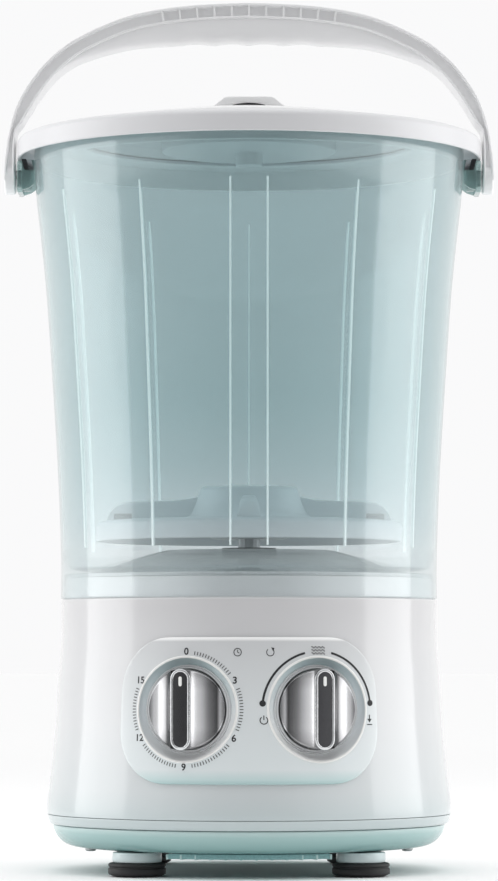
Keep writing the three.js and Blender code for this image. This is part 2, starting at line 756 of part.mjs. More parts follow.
// A point on the outside at part i of HANDLE_STEPS, moved square to the curve towards the inside.
const inwards = (i, distance) => {
  const tangent = outsideCurve.getTangentAt(i / HANDLE_STEPS);
  return [outside[i].x + tangent.z * distance, outside[i].z - tangent.x * distance];
};
const inside = outside
  .map((p, i) => (p.z > 557 ? inwards(i, HANDLE.band + bellyAt(p.x)) : null))
  .filter(Boolean)
  .reverse();
const armEnd = HANDLE_OUTSIDE[HANDLE_OUTSIDE.length - 1][1];
const armInside = [
  [165.6, 547],
  [HANDLE.armInner, 539],
  [HANDLE.armInner, armEnd],
];
const handleOutline = shapeOf([
  ...outside.map((p) => [p.x, p.z]),
  ...[...armInside].reverse(),
  ...inside,
  ...armInside.map(([x, z]) => [-x, z]),
]);
const armSide = new THREE.Shape();
const ARM = { end: 12, middle: 14.5, middleHeight: 545, top: 17.5, topHeight: 592 };
armSide.moveTo(-ARM.top, 640);
armSide.lineTo(-ARM.top, ARM.topHeight);
armSide.lineTo(-ARM.middle, ARM.middleHeight);
armSide.lineTo(-ARM.end, PIVOT_HEIGHT);
armSide.absarc(0, PIVOT_HEIGHT, ARM.end, Math.PI, 2 * Math.PI);
armSide.lineTo(ARM.middle, ARM.middleHeight);
armSide.lineTo(ARM.top, ARM.topHeight);
armSide.lineTo(ARM.top, 640);
const sideways = new THREE.Matrix4().makeBasis(
  new THREE.Vector3(0, 1, 0),
  new THREE.Vector3(0, 0, 1),
  new THREE.Vector3(1, 0, 0)
);
const armPrism = new THREE.ExtrudeGeometry(armSide, { depth: 400, bevelEnabled: false, curveSegments: 8 })
  .translate(0, 0, -200)
  .applyMatrix4(sideways);
let handle = solid(acrossDepth(handleOutline, HANDLE.depth)).intersect(solid(armPrism));
const pocket = {
  halfWidth: (HANDLE_RIB.pitch - HANDLE_RIB.thickness) / 2,
  halfHeight: HANDLE.band / 2 - HANDLE_RIB.skin,
};
for (let n = 0; n <= HANDLE_RIB.count; n += 1) {
  const x = (n - HANDLE_RIB.count / 2) * HANDLE_RIB.pitch;
  const i = outside.reduce((best, p, k) => (Math.abs(p.x - x) < Math.abs(outside[best].x - x) ? k : best), 0);
  const tangent = outsideCurve.getTangentAt(i / HANDLE_STEPS);
  const slope = tangent.z / tangent.x;
  const top = outside[i].z + slope * (x - outside[i].x);
  const hollow = box(
    [-pocket.halfWidth, -HANDLE.depth / 2 - 1, -pocket.halfHeight],
    [pocket.halfWidth, -HANDLE.depth / 2 + HANDLE_RIB.pocketDepth, pocket.halfHeight]
  );
  handle = cut(handle, hollow.rotateY(-Math.atan(slope)).translate(x, 0, top - HANDLE.band / 2));
}
handle = cut(
  handle,
  ...bothSides.map((side) => {
    const ends = [HANDLE.boreInner * side, HANDLE.boreOuter * side].sort((a, b) => a - b);
    return alongX(PIN.radius + GAP, ...ends, 0, PIVOT_HEIGHT);
  })
);
add("handle", handle, WHITE);
add("handle_pin_left", alongX(PIN.radius, -PIN.outer, -PIN.inner, 0, PIVOT_HEIGHT), STEEL);
add("handle_pin_right", alongX(PIN.radius, PIN.inner, PIN.outer, 0, PIVOT_HEIGHT), STEEL);

export default washer;
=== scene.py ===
"""Portable mini washer: detailed surfaces for the CAD frame, in millimetres until a mesh is made."""
import json
import math

import bmesh
import bpy
from mathutils import Matrix, Vector


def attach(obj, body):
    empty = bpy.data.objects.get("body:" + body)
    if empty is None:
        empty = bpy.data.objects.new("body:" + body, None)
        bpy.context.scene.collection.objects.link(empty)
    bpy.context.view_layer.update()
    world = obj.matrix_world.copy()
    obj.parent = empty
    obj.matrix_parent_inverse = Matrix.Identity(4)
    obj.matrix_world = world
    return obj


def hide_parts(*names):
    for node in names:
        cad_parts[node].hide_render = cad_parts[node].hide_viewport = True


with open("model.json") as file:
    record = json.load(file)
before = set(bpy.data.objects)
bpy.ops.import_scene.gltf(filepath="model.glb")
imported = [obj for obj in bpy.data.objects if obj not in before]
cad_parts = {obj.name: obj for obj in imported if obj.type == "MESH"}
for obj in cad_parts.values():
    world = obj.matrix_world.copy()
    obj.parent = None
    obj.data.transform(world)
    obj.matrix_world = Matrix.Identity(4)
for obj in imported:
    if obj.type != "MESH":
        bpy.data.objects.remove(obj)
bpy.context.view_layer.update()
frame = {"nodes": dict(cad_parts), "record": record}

MM = 0.001
ROUND = 192  # facets round the large turned pieces

# ---- Driving dimensions, as in part.mjs ----
SEAM = 41
SHOULDER = 195.7
WALL = 2.5
BASE_OUTSIDE = [
    (146.9, SEAM), (146.4, 52), (143.3, 79), (140.7, 108), (139.3, 137), (137.1, 166), (137.1, SHOULDER),
]
COLLAR = 134
TUB_OUTSIDE = [
    (137.1, 196.3), (137.1, 225), (139.3, 283), (142.9, 342), (148, 415), (152.4, 459), (155.7, 488),
    (157.4, 515), (157.4, 529),
]
DIAL_HEIGHT = 117.8
DIAL_ANGLE = math.radians(19.2)
DIAL_LEAN = math.radians(1)  # both dials sit a little to the right
DIAL_HOLE = 36.3
KNOB_RADIUS = 27.8
BLADE = 7.3  # half the width of the knob's blade
BLADE_TOP = 152
SCOOP_RADIUS = 22
SCOOP_FLOOR = 139
SCOOP_MIDDLE = 27.4  # how far to each side of the blade's middle the scoop is deepest
DISH_FLOOR = 133.5
PANEL_RADIUS = 141  # where the panel's flat outline is measured
PANEL_PROUD = 2.0  # how far the panel's face stands out from the base housing
PRINT_HEIGHT = 0.14
FOOT_X = 79
FOOT_Y = 85
SPIGOT = (88, 66)  # the drain spigot's place across and up, on the back
GLAND = (-50, 60)
DRAIN_X = 88  # the drain hole's place in the tub's floor
DRAIN_Y = 60
RIB_TOP = 488
PIVOT = 505
HANDLE_OUTSIDE = [
    (0, 632.6), (38, 631), (70, 627), (97.3, 619.8), (128.3, 605.2), (147, 590.5), (159.4, 575.9),
    (168.2, 561.3), (173.6, 546.7), (176.9, 532), (178.8, 517.4), (179.5, 502.8), (179.5, 493),
]


# ---- Curves and profiles ----
def smooth_line(points, steps):
    """Catmull-Rom points through a list of (a, b), with steps between neighbours."""
    out = []
    for i in range(len(points) - 1):
        around = (max(i - 1, 0), i, i + 1, min(i + 2, len(points) - 1))
        p0, p1, p2, p3 = (Vector(points[k]) for k in around)
        for k in range(steps):
            t = k / steps
            out.append(tuple(0.5 * (
                2 * p1 + (p2 - p0) * t + (2 * p0 - 5 * p1 + 4 * p2 - p3) * t * t
                + (3 * p1 - p0 - 3 * p2 + p3) * t ** 3
            )))
    out.append(tuple(points[-1]))
    return out


def rounded(points, radius, steps=4):
    """The corners of a closed profile rounded off by up to that radius."""
    out = []
    count = len(points)
    for i, point in enumerate(points):
        here = Vector(point)
        before = Vector(points[i - 1])
        after = Vector(points[(i + 1) % count])
        back = before - here
        ahead = after - here
        sharp = here.x != 0 and back.length >= 1e-6 and ahead.length >= 1e-6
        if not sharp or abs(math.pi - back.angle(ahead)) < math.radians(12):
            out.append(tuple(here))
            continue
        room = min(radius, 0.45 * back.length, 0.45 * ahead.length)
        a = here + back.normalized() * room
        b = here + ahead.normalized() * room
        for k in range(steps + 1):
            t = k / steps
            out.append(tuple(a * (1 - t) ** 2 + here * 2 * t * (1 - t) + b * t * t))
    return out


def size_at(profile, height):
    """The radius or width that a list of (size, height) gives at a height."""
    for (r0, z0), (r1, z1) in zip(profile, profile[1:]):
        if height <= z1:
            return r0 + (r1 - r0) * (height - z0) / (z1 - z0)
    return profile[-1][0]


BASE_CURVE = smooth_line(BASE_OUTSIDE, 8)
TUB_CURVE = smooth_line(TUB_OUTSIDE, 8)


# ---- Mesh building ----
def placed(name, data):
    """An object in the scene for a mesh, lamp, curve or camera."""
    obj = bpy.data.objects.new(name, data)
    bpy.context.scene.collection.objects.link(obj)
    return obj


def finished_mesh(obj):
    """An object's mesh with its modifiers, or its curve's thickness, applied."""
    depsgraph = bpy.context.evaluated_depsgraph_get()
    depsgraph.update()
    return bpy.data.meshes.new_from_object(obj.evaluated_get(depsgraph))


def mesh_object(name, verts, faces, material, smooth=True):
    """An object from points in millimetres, with its faces turned outwards."""
    mesh = bpy.data.meshes.new(name)
    mesh.from_pydata([Vector(v) * MM for v in verts], [], faces)
    bm = bmesh.new()
    bm.from_mesh(mesh)
    bmesh.ops.remove_doubles(bm, verts=bm.verts, dist=1e-6)
    bmesh.ops.recalc_face_normals(bm, faces=bm.faces)
    bm.to_mesh(mesh)
    bm.free()
    obj = placed(name, mesh)
    mesh.materials.append(material)
    if smooth:
        mesh.shade_smooth()
        soften(obj)
    return obj


def soften(obj, degrees=32):
    """Smooth shading with hard edges kept where the surface turns sharply."""
    mesh = obj.data
    bm = bmesh.new()
    bm.from_mesh(mesh)
    limit = math.radians(degrees)
    for edge in bm.edges:
        edge.smooth = not (len(edge.link_faces) == 2 and edge.calc_face_angle(0) > limit)
    bm.to_mesh(mesh)
    bm.free()


def bevelled(obj, width, segments, angle=35):
    """A rounded edge of that width in millimetres."""
    step = obj.modifiers.new("edge", "BEVEL")
    step.width = width * MM
    step.segments = segments
    step.limit_method = "ANGLE"
    step.angle_limit = math.radians(angle)
    step.harden_normals = False
    return obj


def turned(name, profile, material, facets=ROUND, place=None):
    """Turns a closed list of (radius, height) about Z. place moves the points to where they belong."""
    verts = []
    for r, z in profile:
        for k in range(facets):
            a = 2 * math.pi * k / facets
            verts.append((r * math.sin(a), -r * math.cos(a), z))
    faces = []
    for i in range(len(profile)):
        j = (i + 1) % len(profile)
        if profile[i][0] == 0 and profile[j][0] == 0:
            continue
        for k in range(facets):
            n = (k + 1) % facets
            faces.append([i * facets + k, i * facets + n, j * facets + n, j * facets + k])
    if place:
        verts = [place(v) for v in verts]
    return mesh_object(name, verts, faces, material)


def lofted(name, sections, material, caps=True, smooth=True):
    """Joins closed rings of points, each with the same count."""
    count = len(sections[0])
    verts = [p for section in sections for p in section]
    faces = []
    for i in range(len(sections) - 1):
        for k in range(count):
            n = (k + 1) % count
            faces.append([i * count + k, i * count + n, (i + 1) * count + n, (i + 1) * count + k])
    if caps:
        faces.append(list(range(count)))
        faces.append([(len(sections) - 1) * count + k for k in range(count)])
    return mesh_object(name, verts, faces, material, smooth)


def plate(name, outline, bottom, top, material, edge, holes=(), place=None, cuts=0):
    """A flat plate with rounded edges from a 2-D outline, cut into strips of that width so it can be bent."""
    curve = bpy.data.curves.new(name, "CURVE")
    curve.dimensions = "2D"
    curve.fill_mode = "BOTH"
    curve.extrude = ((top - bottom) / 2 - edge) * MM
    curve.bevel_depth = edge * MM
    curve.bevel_resolution = 2
    curve.offset = -edge * MM
    for points in (outline, *holes):
        spline = curve.splines.new("POLY")
        spline.points.add(len(points) - 1)
        for spot, (x, y) in zip(spline.points, points):
            spot.co = (x * MM, y * MM, 0, 1)
        spline.use_cyclic_u = True
    source = placed(name + "_outline", curve)
    mesh = finished_mesh(source)
    bpy.data.objects.remove(source)
    bpy.data.curves.remove(curve)
    bm = bmesh.new()
    bm.from_mesh(mesh)
    bmesh.ops.remove_doubles(bm, verts=bm.verts, dist=1e-6)
    for normal in (Vector((1, 0, 0)), Vector((0, 1, 0))) if cuts else ():
        values = [v.co.dot(normal) for v in bm.verts]
        spot = min(values) + cuts * MM
        while spot < max(values):
            parts = bm.verts[:] + bm.edges[:] + bm.faces[:]
            bmesh.ops.bisect_plane(bm, geom=parts, plane_co=normal * spot, plane_no=normal, dist=1e-7)
            spot += cuts * MM
    bmesh.ops.recalc_face_normals(bm, faces=bm.faces)
    middle = (top + bottom) / 2
    for v in bm.verts:
        x, y, z = v.co.x / MM, v.co.y / MM, v.co.z / MM + middle
        v.co = Vector(place((x, y, z)) if place else (x, y, z)) * MM
    bm.to_mesh(mesh)
    bm.free()
    obj = placed(name, mesh)
    mesh.materials.clear()
    mesh.materials.append(material)
    mesh.shade_smooth()
    soften(obj, 40)
    return obj


def circle(radius, x=0, y=0, count=64):
    return [(x + radius * math.cos(2 * math.pi * k / count), y + radius * math.sin(2 * math.pi * k / count))
            for k in range(count)]


def rounded_box(half_width, half_height, corner, steps, x=0, y=0):
    out = []
    for cx, cy, start in ((1, 1, 0), (-1, 1, 90), (-1, -1, 180), (1, -1, 270)):
        for k in range(steps + 1):
            a = math.radians(start + 90 * k / steps)
            out.append((
                x + cx * (half_width - corner) + corner * math.cos(a),
                y + cy * (half_height - corner) + corner * math.sin(a),
            ))
    return out


def on_base(point):
    """Bends (sideways, up, outwards) onto the front of the base housing."""
    u, z, out = point
    around = u / PANEL_RADIUS
    r = size_at(BASE_CURVE, z) + out
    return (r * math.sin(around), -r * math.cos(around), z)


def dial_azimuth(side):
    return DIAL_LEAN + side * DIAL_ANGLE


def away_from_middle(side):
    """The level direction across a dial that points away from the washer's middle."""
    return (side * math.cos(dial_azimuth(side)), side * math.sin(dial_azimuth(side)), 0)


def out_of_dial(side):
    """Places a point built along +Z so that +Z points out through a dial."""
    s = math.sin(dial_azimuth(side))
    c = math.cos(dial_azimuth(side))

    def place(point):
        x, y, z = point
        return (x * c + z * s, x * s - z * c, DIAL_HEIGHT + y)
    return place


def moved(x, y):
    """Moves a piece across the floor."""
    return lambda p: (p[0] + x, p[1] + y, p[2])


def along_pin(side):
    """Lays a piece built along +Z along the handle's pin on that side."""
    return lambda p: (side * p[2], p[0], PIVOT + p[1])


def towards_back(place):
    """Lays a piece built along +Z so that it points out of the back of the base."""
    return lambda p: (place[0] + p[0], p[2], place[1] - p[1])


def fixed(obj, *nodes, body="washer_body", slot=None):
    """Puts a finished piece on its body, in place of the CAD nodes it stands for."""
    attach(obj, body)
    if nodes:
        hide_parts(*nodes)


# ---- Materials ----
UP = (0, 0, 1)


def set_inputs(node, values):
    """Gives a shader node its input values; an underscore stands for a space in an input's name."""
    for key, value in values.items():
        node.inputs[key.replace("_", " ")].default_value = value
    return node


def node_in(tree, kind, **values):
    return set_inputs(tree.nodes.new("ShaderNode" + kind), values)


def feed(output, node, socket):
    """Joins a node's output to another node's input."""
    node.id_data.links.new(output, node.inputs[socket])


def shader(name, color, roughness, **sockets):
    """A material, its node tree and its one Principled shader."""
    mat = bpy.data.materials.new(name)
    mat.use_nodes = True
    values = {"Base Color": (*color, 1), "Roughness": roughness, **sockets}
    bsdf = set_inputs(mat.node_tree.nodes["Principled BSDF"], values)
    return mat, mat.node_tree, bsdf


def object_coords(tree, scale=(1, 1, 1)):
    source = node_in(tree, "TexCoord")
    mapping = node_in(tree, "Mapping", Scale=scale)
    feed(source.outputs["Object"], mapping, "Vector")
    return mapping.outputs["Vector"]


def noise(tree, vector, scale, detail=3):
    node = node_in(tree, "TexNoise", Scale=scale, Detail=detail)
    feed(vector, node, "Vector")
    return node.outputs["Fac"]


def ramp(tree, value, stops):
    node = node_in(tree, "ValToRGB")
    points = node.color_ramp.elements
    while len(points) < len(stops):
        points.new(0.5)
    for point, (place, color) in zip(points, stops):
        point.position = place
        point.color = (*color, 1)
    feed(value, node, "Fac")
    return node.outputs["Color"]


def spread(tree, value, low, high):
    node = node_in(tree, "MapRange", To_Min=low, To_Max=high)
    feed(value, node, "Value")
    return node.outputs["Result"]


def bump(tree, bsdf, value, strength, distance=0.0002):
    node = node_in(tree, "Bump", Strength=strength, Distance=distance)
    feed(value, node, "Height")
    feed(node.outputs["Normal"], bsdf, "Normal")


def along_axis(tree, axis, low, high):
    """How far along a direction a point lies, as a share of the way from low to high in millimetres."""
    source = node_in(tree, "TexCoord")
    dot = node_in(tree, "VectorMath")
    dot.operation = "DOT_PRODUCT"
    dot.inputs[1].default_value = axis
    feed(source.outputs["Object"], dot, 0)
    share = node_in(tree, "MapRange", From_Min=low * MM, From_Max=high * MM)
    feed(dot.outputs["Value"], share, "Value")
    return share.outputs["Result"]


def multiplied(tree, first, second):
    mix = node_in(tree, "Mix", Factor=1)
    mix.data_type = "RGBA"
    mix.blend_type = "MULTIPLY"
    feed(first, mix, 6)
    feed(second, mix, 7)
    return mix.outputs[2]


def seen_as(tree, other, plain):
    """The plain colour where the camera looks straight at it, and the other one in light and reflections."""
    seen = node_in(tree, "LightPath")
    mix = node_in(tree, "Mix")
    mix.data_type = "RGBA"
    mix.inputs[7].default_value = (*plain, 1)
    feed(seen.outputs["Is Camera Ray"], mix, "Factor")
    feed(other, mix, 6)
    return mix.outputs[2]


def banded(tree, axis, stops):
    """A colour that changes along a direction, with stops in millimetres."""
    low = stops[0][0]
    high = stops[-1][0]
    share = along_axis(tree, axis, low, high)
    return ramp(tree, share, [((place - low) / (high - low), color) for place, color in stops])


def varied(tree, bsdf, color_output, vector, amount=0.015, scale=14):
    """Multiplies a colour by faint uneven shading, as moulded plastic has."""
    cloudy = spread(tree, noise(tree, vector, scale), 1 - amount, 1)
    feed(multiplied(tree, color_output, cloudy), bsdf, "Base Color")


def moulded(name, color, roughness, coat=0.25, grain=0.015, stops=None):
    """Glossy moulded plastic: faint flow marks, uneven gloss and a very fine orange peel."""
    mat, tree, bsdf = shader(name, color, roughness, Coat_Weight=coat, Coat_Roughness=0.08, IOR=1.5)
    vector = object_coords(tree)
    if stops:
        tint = banded(tree, UP, stops)
    else:
        flow = noise(tree, vector, 9)
        tint = ramp(tree, flow, [(0.3, color), (0.8, tuple(c * 0.985 for c in color))])
    varied(tree, bsdf, tint, vector)
    feed(spread(tree, noise(tree, vector, 60), roughness - 0.03, roughness + 0.05), bsdf, "Roughness")
    bump(tree, bsdf, noise(tree, vector, 900, 2), grain)
    return mat


def turned_metal(name, color, roughness, lines=(30, 2600, 30)):
    """Brushed metal with fine parallel lines."""
    mat, tree, bsdf = shader(name, color, roughness, Metallic=1.0)
    vector = object_coords(tree, lines)
    streaks = noise(tree, vector, 1.0, 4)
    tint = ramp(tree, streaks, [(0.25, tuple(c * 0.86 for c in color)), (0.75, color)])
    feed(tint, bsdf, "Base Color")
    feed(spread(tree, streaks, roughness - 0.05, roughness + 0.09), bsdf, "Roughness")
    bump(tree, bsdf, streaks, 0.06)
    return mat


def grey(value):
    return (value, value, value * 1.01)


def knob_metal(side):
    """Satin metal with painted reflections and shade, mirrored between the two dials: light and dark stripes
    across the knob stand in for what a scooped knob reflects, and its top and bottom are painted darker.
    """
    name = "knob_left" if side < 0 else "knob_right"
    mat, tree, bsdf = shader(name, (0.6, 0.6, 0.61), 0.25, Metallic=1.0)
    # Painted reflections: light and dark stripes across the knob, darkest beside the blade.
    painted_reflection_bands = banded(tree, away_from_middle(side), [(place, grey(value)) for place, value in (
        (-27, 0.3), (-24.5, 0.9), (-22.5, 0.16), (-19, 0.36), (-14, 0.62), (-9, 0.7), (7.3, 0.05), (10, 0.1),
        (14, 0.3), (19, 0.55), (24, 0.6), (27, 0.3),
    )])
    # Painted shade: darker towards the knob's top and bottom.
    painted_shade_ends = banded(tree, UP, [(DIAL_HEIGHT + KNOB_RADIUS * share, grey(value)) for share, value in (
        (-1, 0.3), (-0.76, 0.75), (-0.46, 1), (0.46, 1), (0.76, 0.75), (1, 0.3),
    )])
    vector = object_coords(tree, (30, 30, 1800))
    varied(tree, bsdf, multiplied(tree, painted_reflection_bands, painted_shade_ends), vector, 0.04, 1)
    feed(spread(tree, noise(tree, vector, 1), 0.22, 0.26), bsdf, "Roughness")
    return mat


def dish_plastic(side):
    """The dial dish, with painted light and shade: pale at the bottom and towards the washer's middle, darker
    teal at the top and outside.
    """
    name = "dish_left" if side < 0 else "dish_right"
    mat, tree, bsdf = shader(name, (0.7, 0.75, 0.76), 0.3, Coat_Weight=0.25)
    # Painted shade: darker away from the washer's middle.
    across = banded(tree, away_from_middle(side), [
        (-36, (1, 1, 1)), (-18, (1, 1, 1)), (18, (0.84, 0.86, 0.87)), (36, (0.76, 0.79, 0.81)),
    ])
    # Painted shade at the top, darker teal, and painted light at the bottom, pale.
    up = banded(tree, UP, [(DIAL_HEIGHT + height, color) for height, color in (
        (-37, (1, 1, 1)), (-22.2, (0.97, 0.98, 0.98)), (0, (0.84, 0.88, 0.89)), (37, (0.48, 0.6, 0.62)),
    )])
    varied(tree, bsdf, multiplied(tree, across, up), object_coords(tree))
    return mat


def matte(name, color, roughness):
    """Matte plastic or rubber with a fine grain."""
    mat, tree, bsdf = shader(name, color, roughness)
    vector = object_coords(tree)
    grains = noise(tree, vector, 700, 4)
    tint = ramp(tree, grains, [(0.3, tuple(c * 0.8 for c in color)), (0.7, color)])
    feed(tint, bsdf, "Base Color")
    feed(spread(tree, grains, roughness - 0.08, roughness + 0.1), bsdf, "Roughness")
    bump(tree, bsdf, grains, 0.25)
    return mat


def mixed(tree, share, first, second):
    """One shader laid over another, by a share between 0 and 1."""
    mix = node_in(tree, "MixShader")
    for place, output in enumerate((share, first.outputs[0], second.outputs[0])):
        feed(output, mix, place)
    return mix


def clear_plastic(name, tint, milk, body, edge, stops=None, painted_glow=0.0):
    """Tinted clear plastic: light passes straight through, with more body colour where it is seen edge on.

    stops change the tint with height. The glow argument sets an emission from the milky share: painted light,
    in place of the light the plastic pipes along to its edges.
    """
    mat = bpy.data.materials.new(name)
    mat.use_nodes = True
    tree = mat.node_tree
    tree.nodes.clear()
    through = node_in(tree, "BsdfTransparent", Color=(*tint, 1))
    if stops:
        feed(banded(tree, UP, stops), through, "Color")
    milky = node_in(tree, "BsdfPrincipled", Roughness=0.16, Emission_Color=(*milk, 1), Emission_Strength=painted_glow)
    vector = object_coords(tree)
    cloudy = ramp(tree, noise(tree, vector, 6), [(0.3, milk), (0.8, tuple(c * 0.96 for c in milk))])
    feed(cloudy, milky, "Base Color")
    facing = node_in(tree, "LayerWeight", Blend=0.5).outputs["Facing"]
    wall = mixed(tree, spread(tree, facing, body, edge), through, milky)
    shine = node_in(tree, "BsdfGlossy")
    feed(spread(tree, noise(tree, vector, 40), 0.06, 0.11), shine, "Roughness")
    bump(tree, shine, noise(tree, vector, 14, 1), 0.03, 0.0006)
    # Schlick's curve: light crosses the walls without bending, so neither side ever reflects everything.
    steep = node_in(tree, "Math")
    steep.operation = "POWER"
    steep.inputs[1].default_value = 5
    feed(facing, steep, 0)
    fresnel = spread(tree, steep.outputs["Value"], 0.06, 0.8)
    whole = mixed(tree, fresnel, wall, shine)
    feed(whole.outputs[0], node_in(tree, "OutputMaterial"), "Surface")
    return mat


# The housing's colour is painted by height: darker and more teal towards the bottom and slightly darker below
# the shoulder, painted shade; near white on the collar above the shoulder, under the tub, painted light.
WHITE = moulded("white_gloss", (0.68, 0.68, 0.69), 0.2, coat=0.6, stops=[
    (34, (0.53, 0.61, 0.62)), (60, (0.61, 0.645, 0.655)), (110, (0.64, 0.65, 0.66)),
    (195, (0.61, 0.605, 0.615)), (197, (0.93, 0.93, 0.94)), (211, (0.95, 0.95, 0.95)),
])
RIM_WHITE = moulded("rim_white", (0.72, 0.72, 0.735), 0.34, coat=0.1, grain=0.01)
LID_WHITE = moulded("lid_white", (0.8, 0.8, 0.805), 0.34, coat=0.1)
# The handle's white is brighter than the housing's, which lightens its shaded channel: painted light.
HANDLE_WHITE = moulded("handle_white", (0.93, 0.93, 0.935), 0.3)
GRIP_WHITE = moulded("grip_white", (0.97, 0.97, 0.97), 0.3)
# The panel's colour is painted by height: a darker teal lower edge, painted shade, and a near-white top edge,
# a painted highlight.
PANEL_WHITE = moulded("panel_white", (0.7, 0.72, 0.73), 0.22, stops=[
    (65.5, (0.38, 0.56, 0.56)), (69, (0.56, 0.7, 0.7)), (76, (0.74, 0.79, 0.8)), (120, (0.7, 0.73, 0.74)),
    (165, (0.62, 0.63, 0.64)), (166.6, (0.95, 0.95, 0.95)), (168, (0.97, 0.97, 0.97)),
])
# The tray darkens towards its underside: painted shade.
TEAL = moulded("teal_gloss", (0.5, 0.65, 0.645), 0.22, stops=[
    (16, (0.2, 0.38, 0.37)), (22, (0.29, 0.47, 0.46)), (29, (0.38, 0.56, 0.55)), (34, (0.6, 0.73, 0.725)),
])
VENT_TEAL = matte("vent_teal", (0.25, 0.47, 0.48), 0.5)
VENT_BAR = moulded("vent_bar", (0.5, 0.68, 0.67), 0.35)
PALE = moulded("pale_blue", (0.93, 0.95, 0.97), 0.34)
GASKET = matte("gasket_grey", (0.85, 0.87, 0.88), 0.5)
POST = moulded("post_grey", (0.62, 0.71, 0.72), 0.35)
# The tub's tint is clearer towards the bottom, which lightens the shaded space under the pulsator: painted
# light.
CLEAR = clear_plastic("clear_teal", (0.775, 0.845, 0.85), (0.6, 0.68, 0.69), 0.05, 0.5, stops=[
    (196, (0.95, 0.96, 0.965)), (232, (0.94, 0.955, 0.96)), (250, (0.87, 0.905, 0.915)),
    (290, (0.8, 0.86, 0.87)), (340, (0.755, 0.83, 0.84)), (529, (0.775, 0.838, 0.848)),
], painted_glow=0.2)
# The ribs' stronger glow makes them read as light lines: painted light.
RIB_CLEAR = clear_plastic("rib_teal", (0.9, 0.94, 0.94), (0.9, 0.95, 0.95), 0.6, 0.9, painted_glow=0.42)
EAR_CLEAR = clear_plastic("ear_teal", (0.72, 0.82, 0.815), (0.4, 0.55, 0.54), 0.3, 0.7)
METAL = turned_metal("knob_metal", (0.6, 0.6, 0.61), 0.2)
BEZEL = moulded("bezel_silver", (0.66, 0.67, 0.68), 0.24, coat=0.5)
CHROME = turned_metal("chrome", (0.8, 0.81, 0.82), 0.16, (400, 400, 400))
STEEL = turned_metal("steel", (0.5, 0.51, 0.52), 0.3, (300, 300, 20))
BLACK = matte("insert_black", (0.02, 0.02, 0.023), 0.42)
GREY_BLACK = matte("insert_grey", (0.045, 0.045, 0.05), 0.45)
RUBBER = matte("rubber", (0.012, 0.012, 0.013), 0.55)
GREY = matte("grey_plastic", (0.35, 0.37, 0.38), 0.5)
INK = matte("ink", (0.018, 0.018, 0.021), 0.6)
INK_SOFT = matte("ink_soft", (0.1, 0.102, 0.106), 0.6)
# White for printed marks, and for the painted highlight on the dishes' rims.
WHITE_PRINT_AND_RIM_HIGHLIGHT = moulded("white_print_and_rim_highlight", (0.88, 0.88, 0.86), 0.35)

SLOT_LOOKS = {
    "white_plastic": WHITE, "panel_plastic": PANEL_WHITE, "teal_plastic": TEAL,
    "dark_teal_plastic": VENT_TEAL, "clear_plastic": CLEAR, "pale_plastic": PALE, "knob_metal": METAL,
    "black_plastic": BLACK, "rubber": RUBBER, "steel": STEEL, "grey_plastic": GREY,
}
for part in frame["record"]["subparts"]:
    node = frame["nodes"][part["node"]]
    node.data.materials.clear()
    node.data.materials.append(GASKET if part["node"] == "tub_gasket" else SLOT_LOOKS[part["material_slot"]])


# ---- Finishing helpers ----
def solidified(obj):
    """Applies an object's modifiers to its mesh."""
    mesh = finished_mesh(obj)
    obj.modifiers.clear()
    obj.data = mesh


def cut_out(obj, *cutters):
    """Cuts closed pieces out of an object."""
    for cutter in cutters:
        step = obj.modifiers.new("cut", "BOOLEAN")
        step.operation = "DIFFERENCE"
        step.solver = "EXACT"
        step.object = cutter
    solidified(obj)
    for cutter in cutters:
        bpy.data.objects.remove(cutter)
    obj.data.shade_smooth()
    soften(obj)


def joined(name, pieces):
    """One object from several, at the first one's place."""
    target = pieces[0]
    bm = bmesh.new()
    materials = []
    for piece in pieces:
        solidified(piece)
        for mat in piece.data.materials:
            if mat not in materials:
                materials.append(mat)
        start = len(bm.faces)
        bm.from_mesh(piece.data)
        bm.faces.ensure_lookup_table()
        for face in bm.faces[start:]:
            face.material_index = materials.index(piece.data.materials[face.material_index])
    mesh = bpy.data.meshes.new(name)
    bm.to_mesh(mesh)
    bm.free()
    for mat in materials:
        mesh.materials.append(mat)
    for piece in pieces[1:]:
        bpy.data.objects.remove(piece)
    target.modifiers.clear()
    target.data = mesh
    target.name = name
    return target


# ---- Base housing, trim ring, tray and vent ----
inner = [(size_at(BASE_CURVE, z) - WALL, z) for z in (SHOULDER - WALL, 166, 137, 108, 79, SEAM)]
housing = turned("housing", rounded([
    *BASE_CURVE, (COLLAR + 0.6, SHOULDER), (COLLAR, SHOULDER + 0.6), (COLLAR, 211), (31, 211), (31, 208.5),
    (COLLAR - WALL, 208.5), (COLLAR - WALL, SHOULDER - WALL), *inner,
], 0.9), WHITE)


def drill(radius, start, end, facets, place):
    """A closed round piece that a hole is cut with."""
    return turned("cutter", [(0, start), (radius, start), (radius, end), (0, end)], WHITE, facets, place)


cutters = [drill(DIAL_HOLE, 131.5, 160, 96, out_of_dial(side)) for side in (-1, 1)]
cutters += [drill(8.8, 90, 170, 48, towards_back(SPIGOT)), drill(5.5, 90, 170, 48, towards_back(GLAND))]
cut_out(housing, *cutters)
fixed(housing, "base_housing", slot="white_plastic")

fixed(turned("trim_ring", rounded([
    (144.4, 33.8), (145.6, 35), (146.4, 38), (146.9, 40.7), (141, 40.7), (141, 33.8),
], 0.7), WHITE), "base_trim_ring", slot="white_plastic")
fixed(turned("tray", rounded([
    (0, 17), (122, 17), (129, 17.8), (134, 19.6), (138, 23), (140.6, 26.8), (142, 30.5), (142.5, 33.4),
    (139.5, 33.4), (137, 26), (133, 21.8), (127, 19.5), (0, 19.5),
], 2.2), TEAL), "bottom_tray", slot="teal_plastic")

VENT_ANGLE = 28
VENT_BARS = 12


def front_arc(half_width, depth, degrees):
    return [(half_width * math.sin(math.radians(a)), -depth * math.cos(math.radians(a))) for a in degrees]


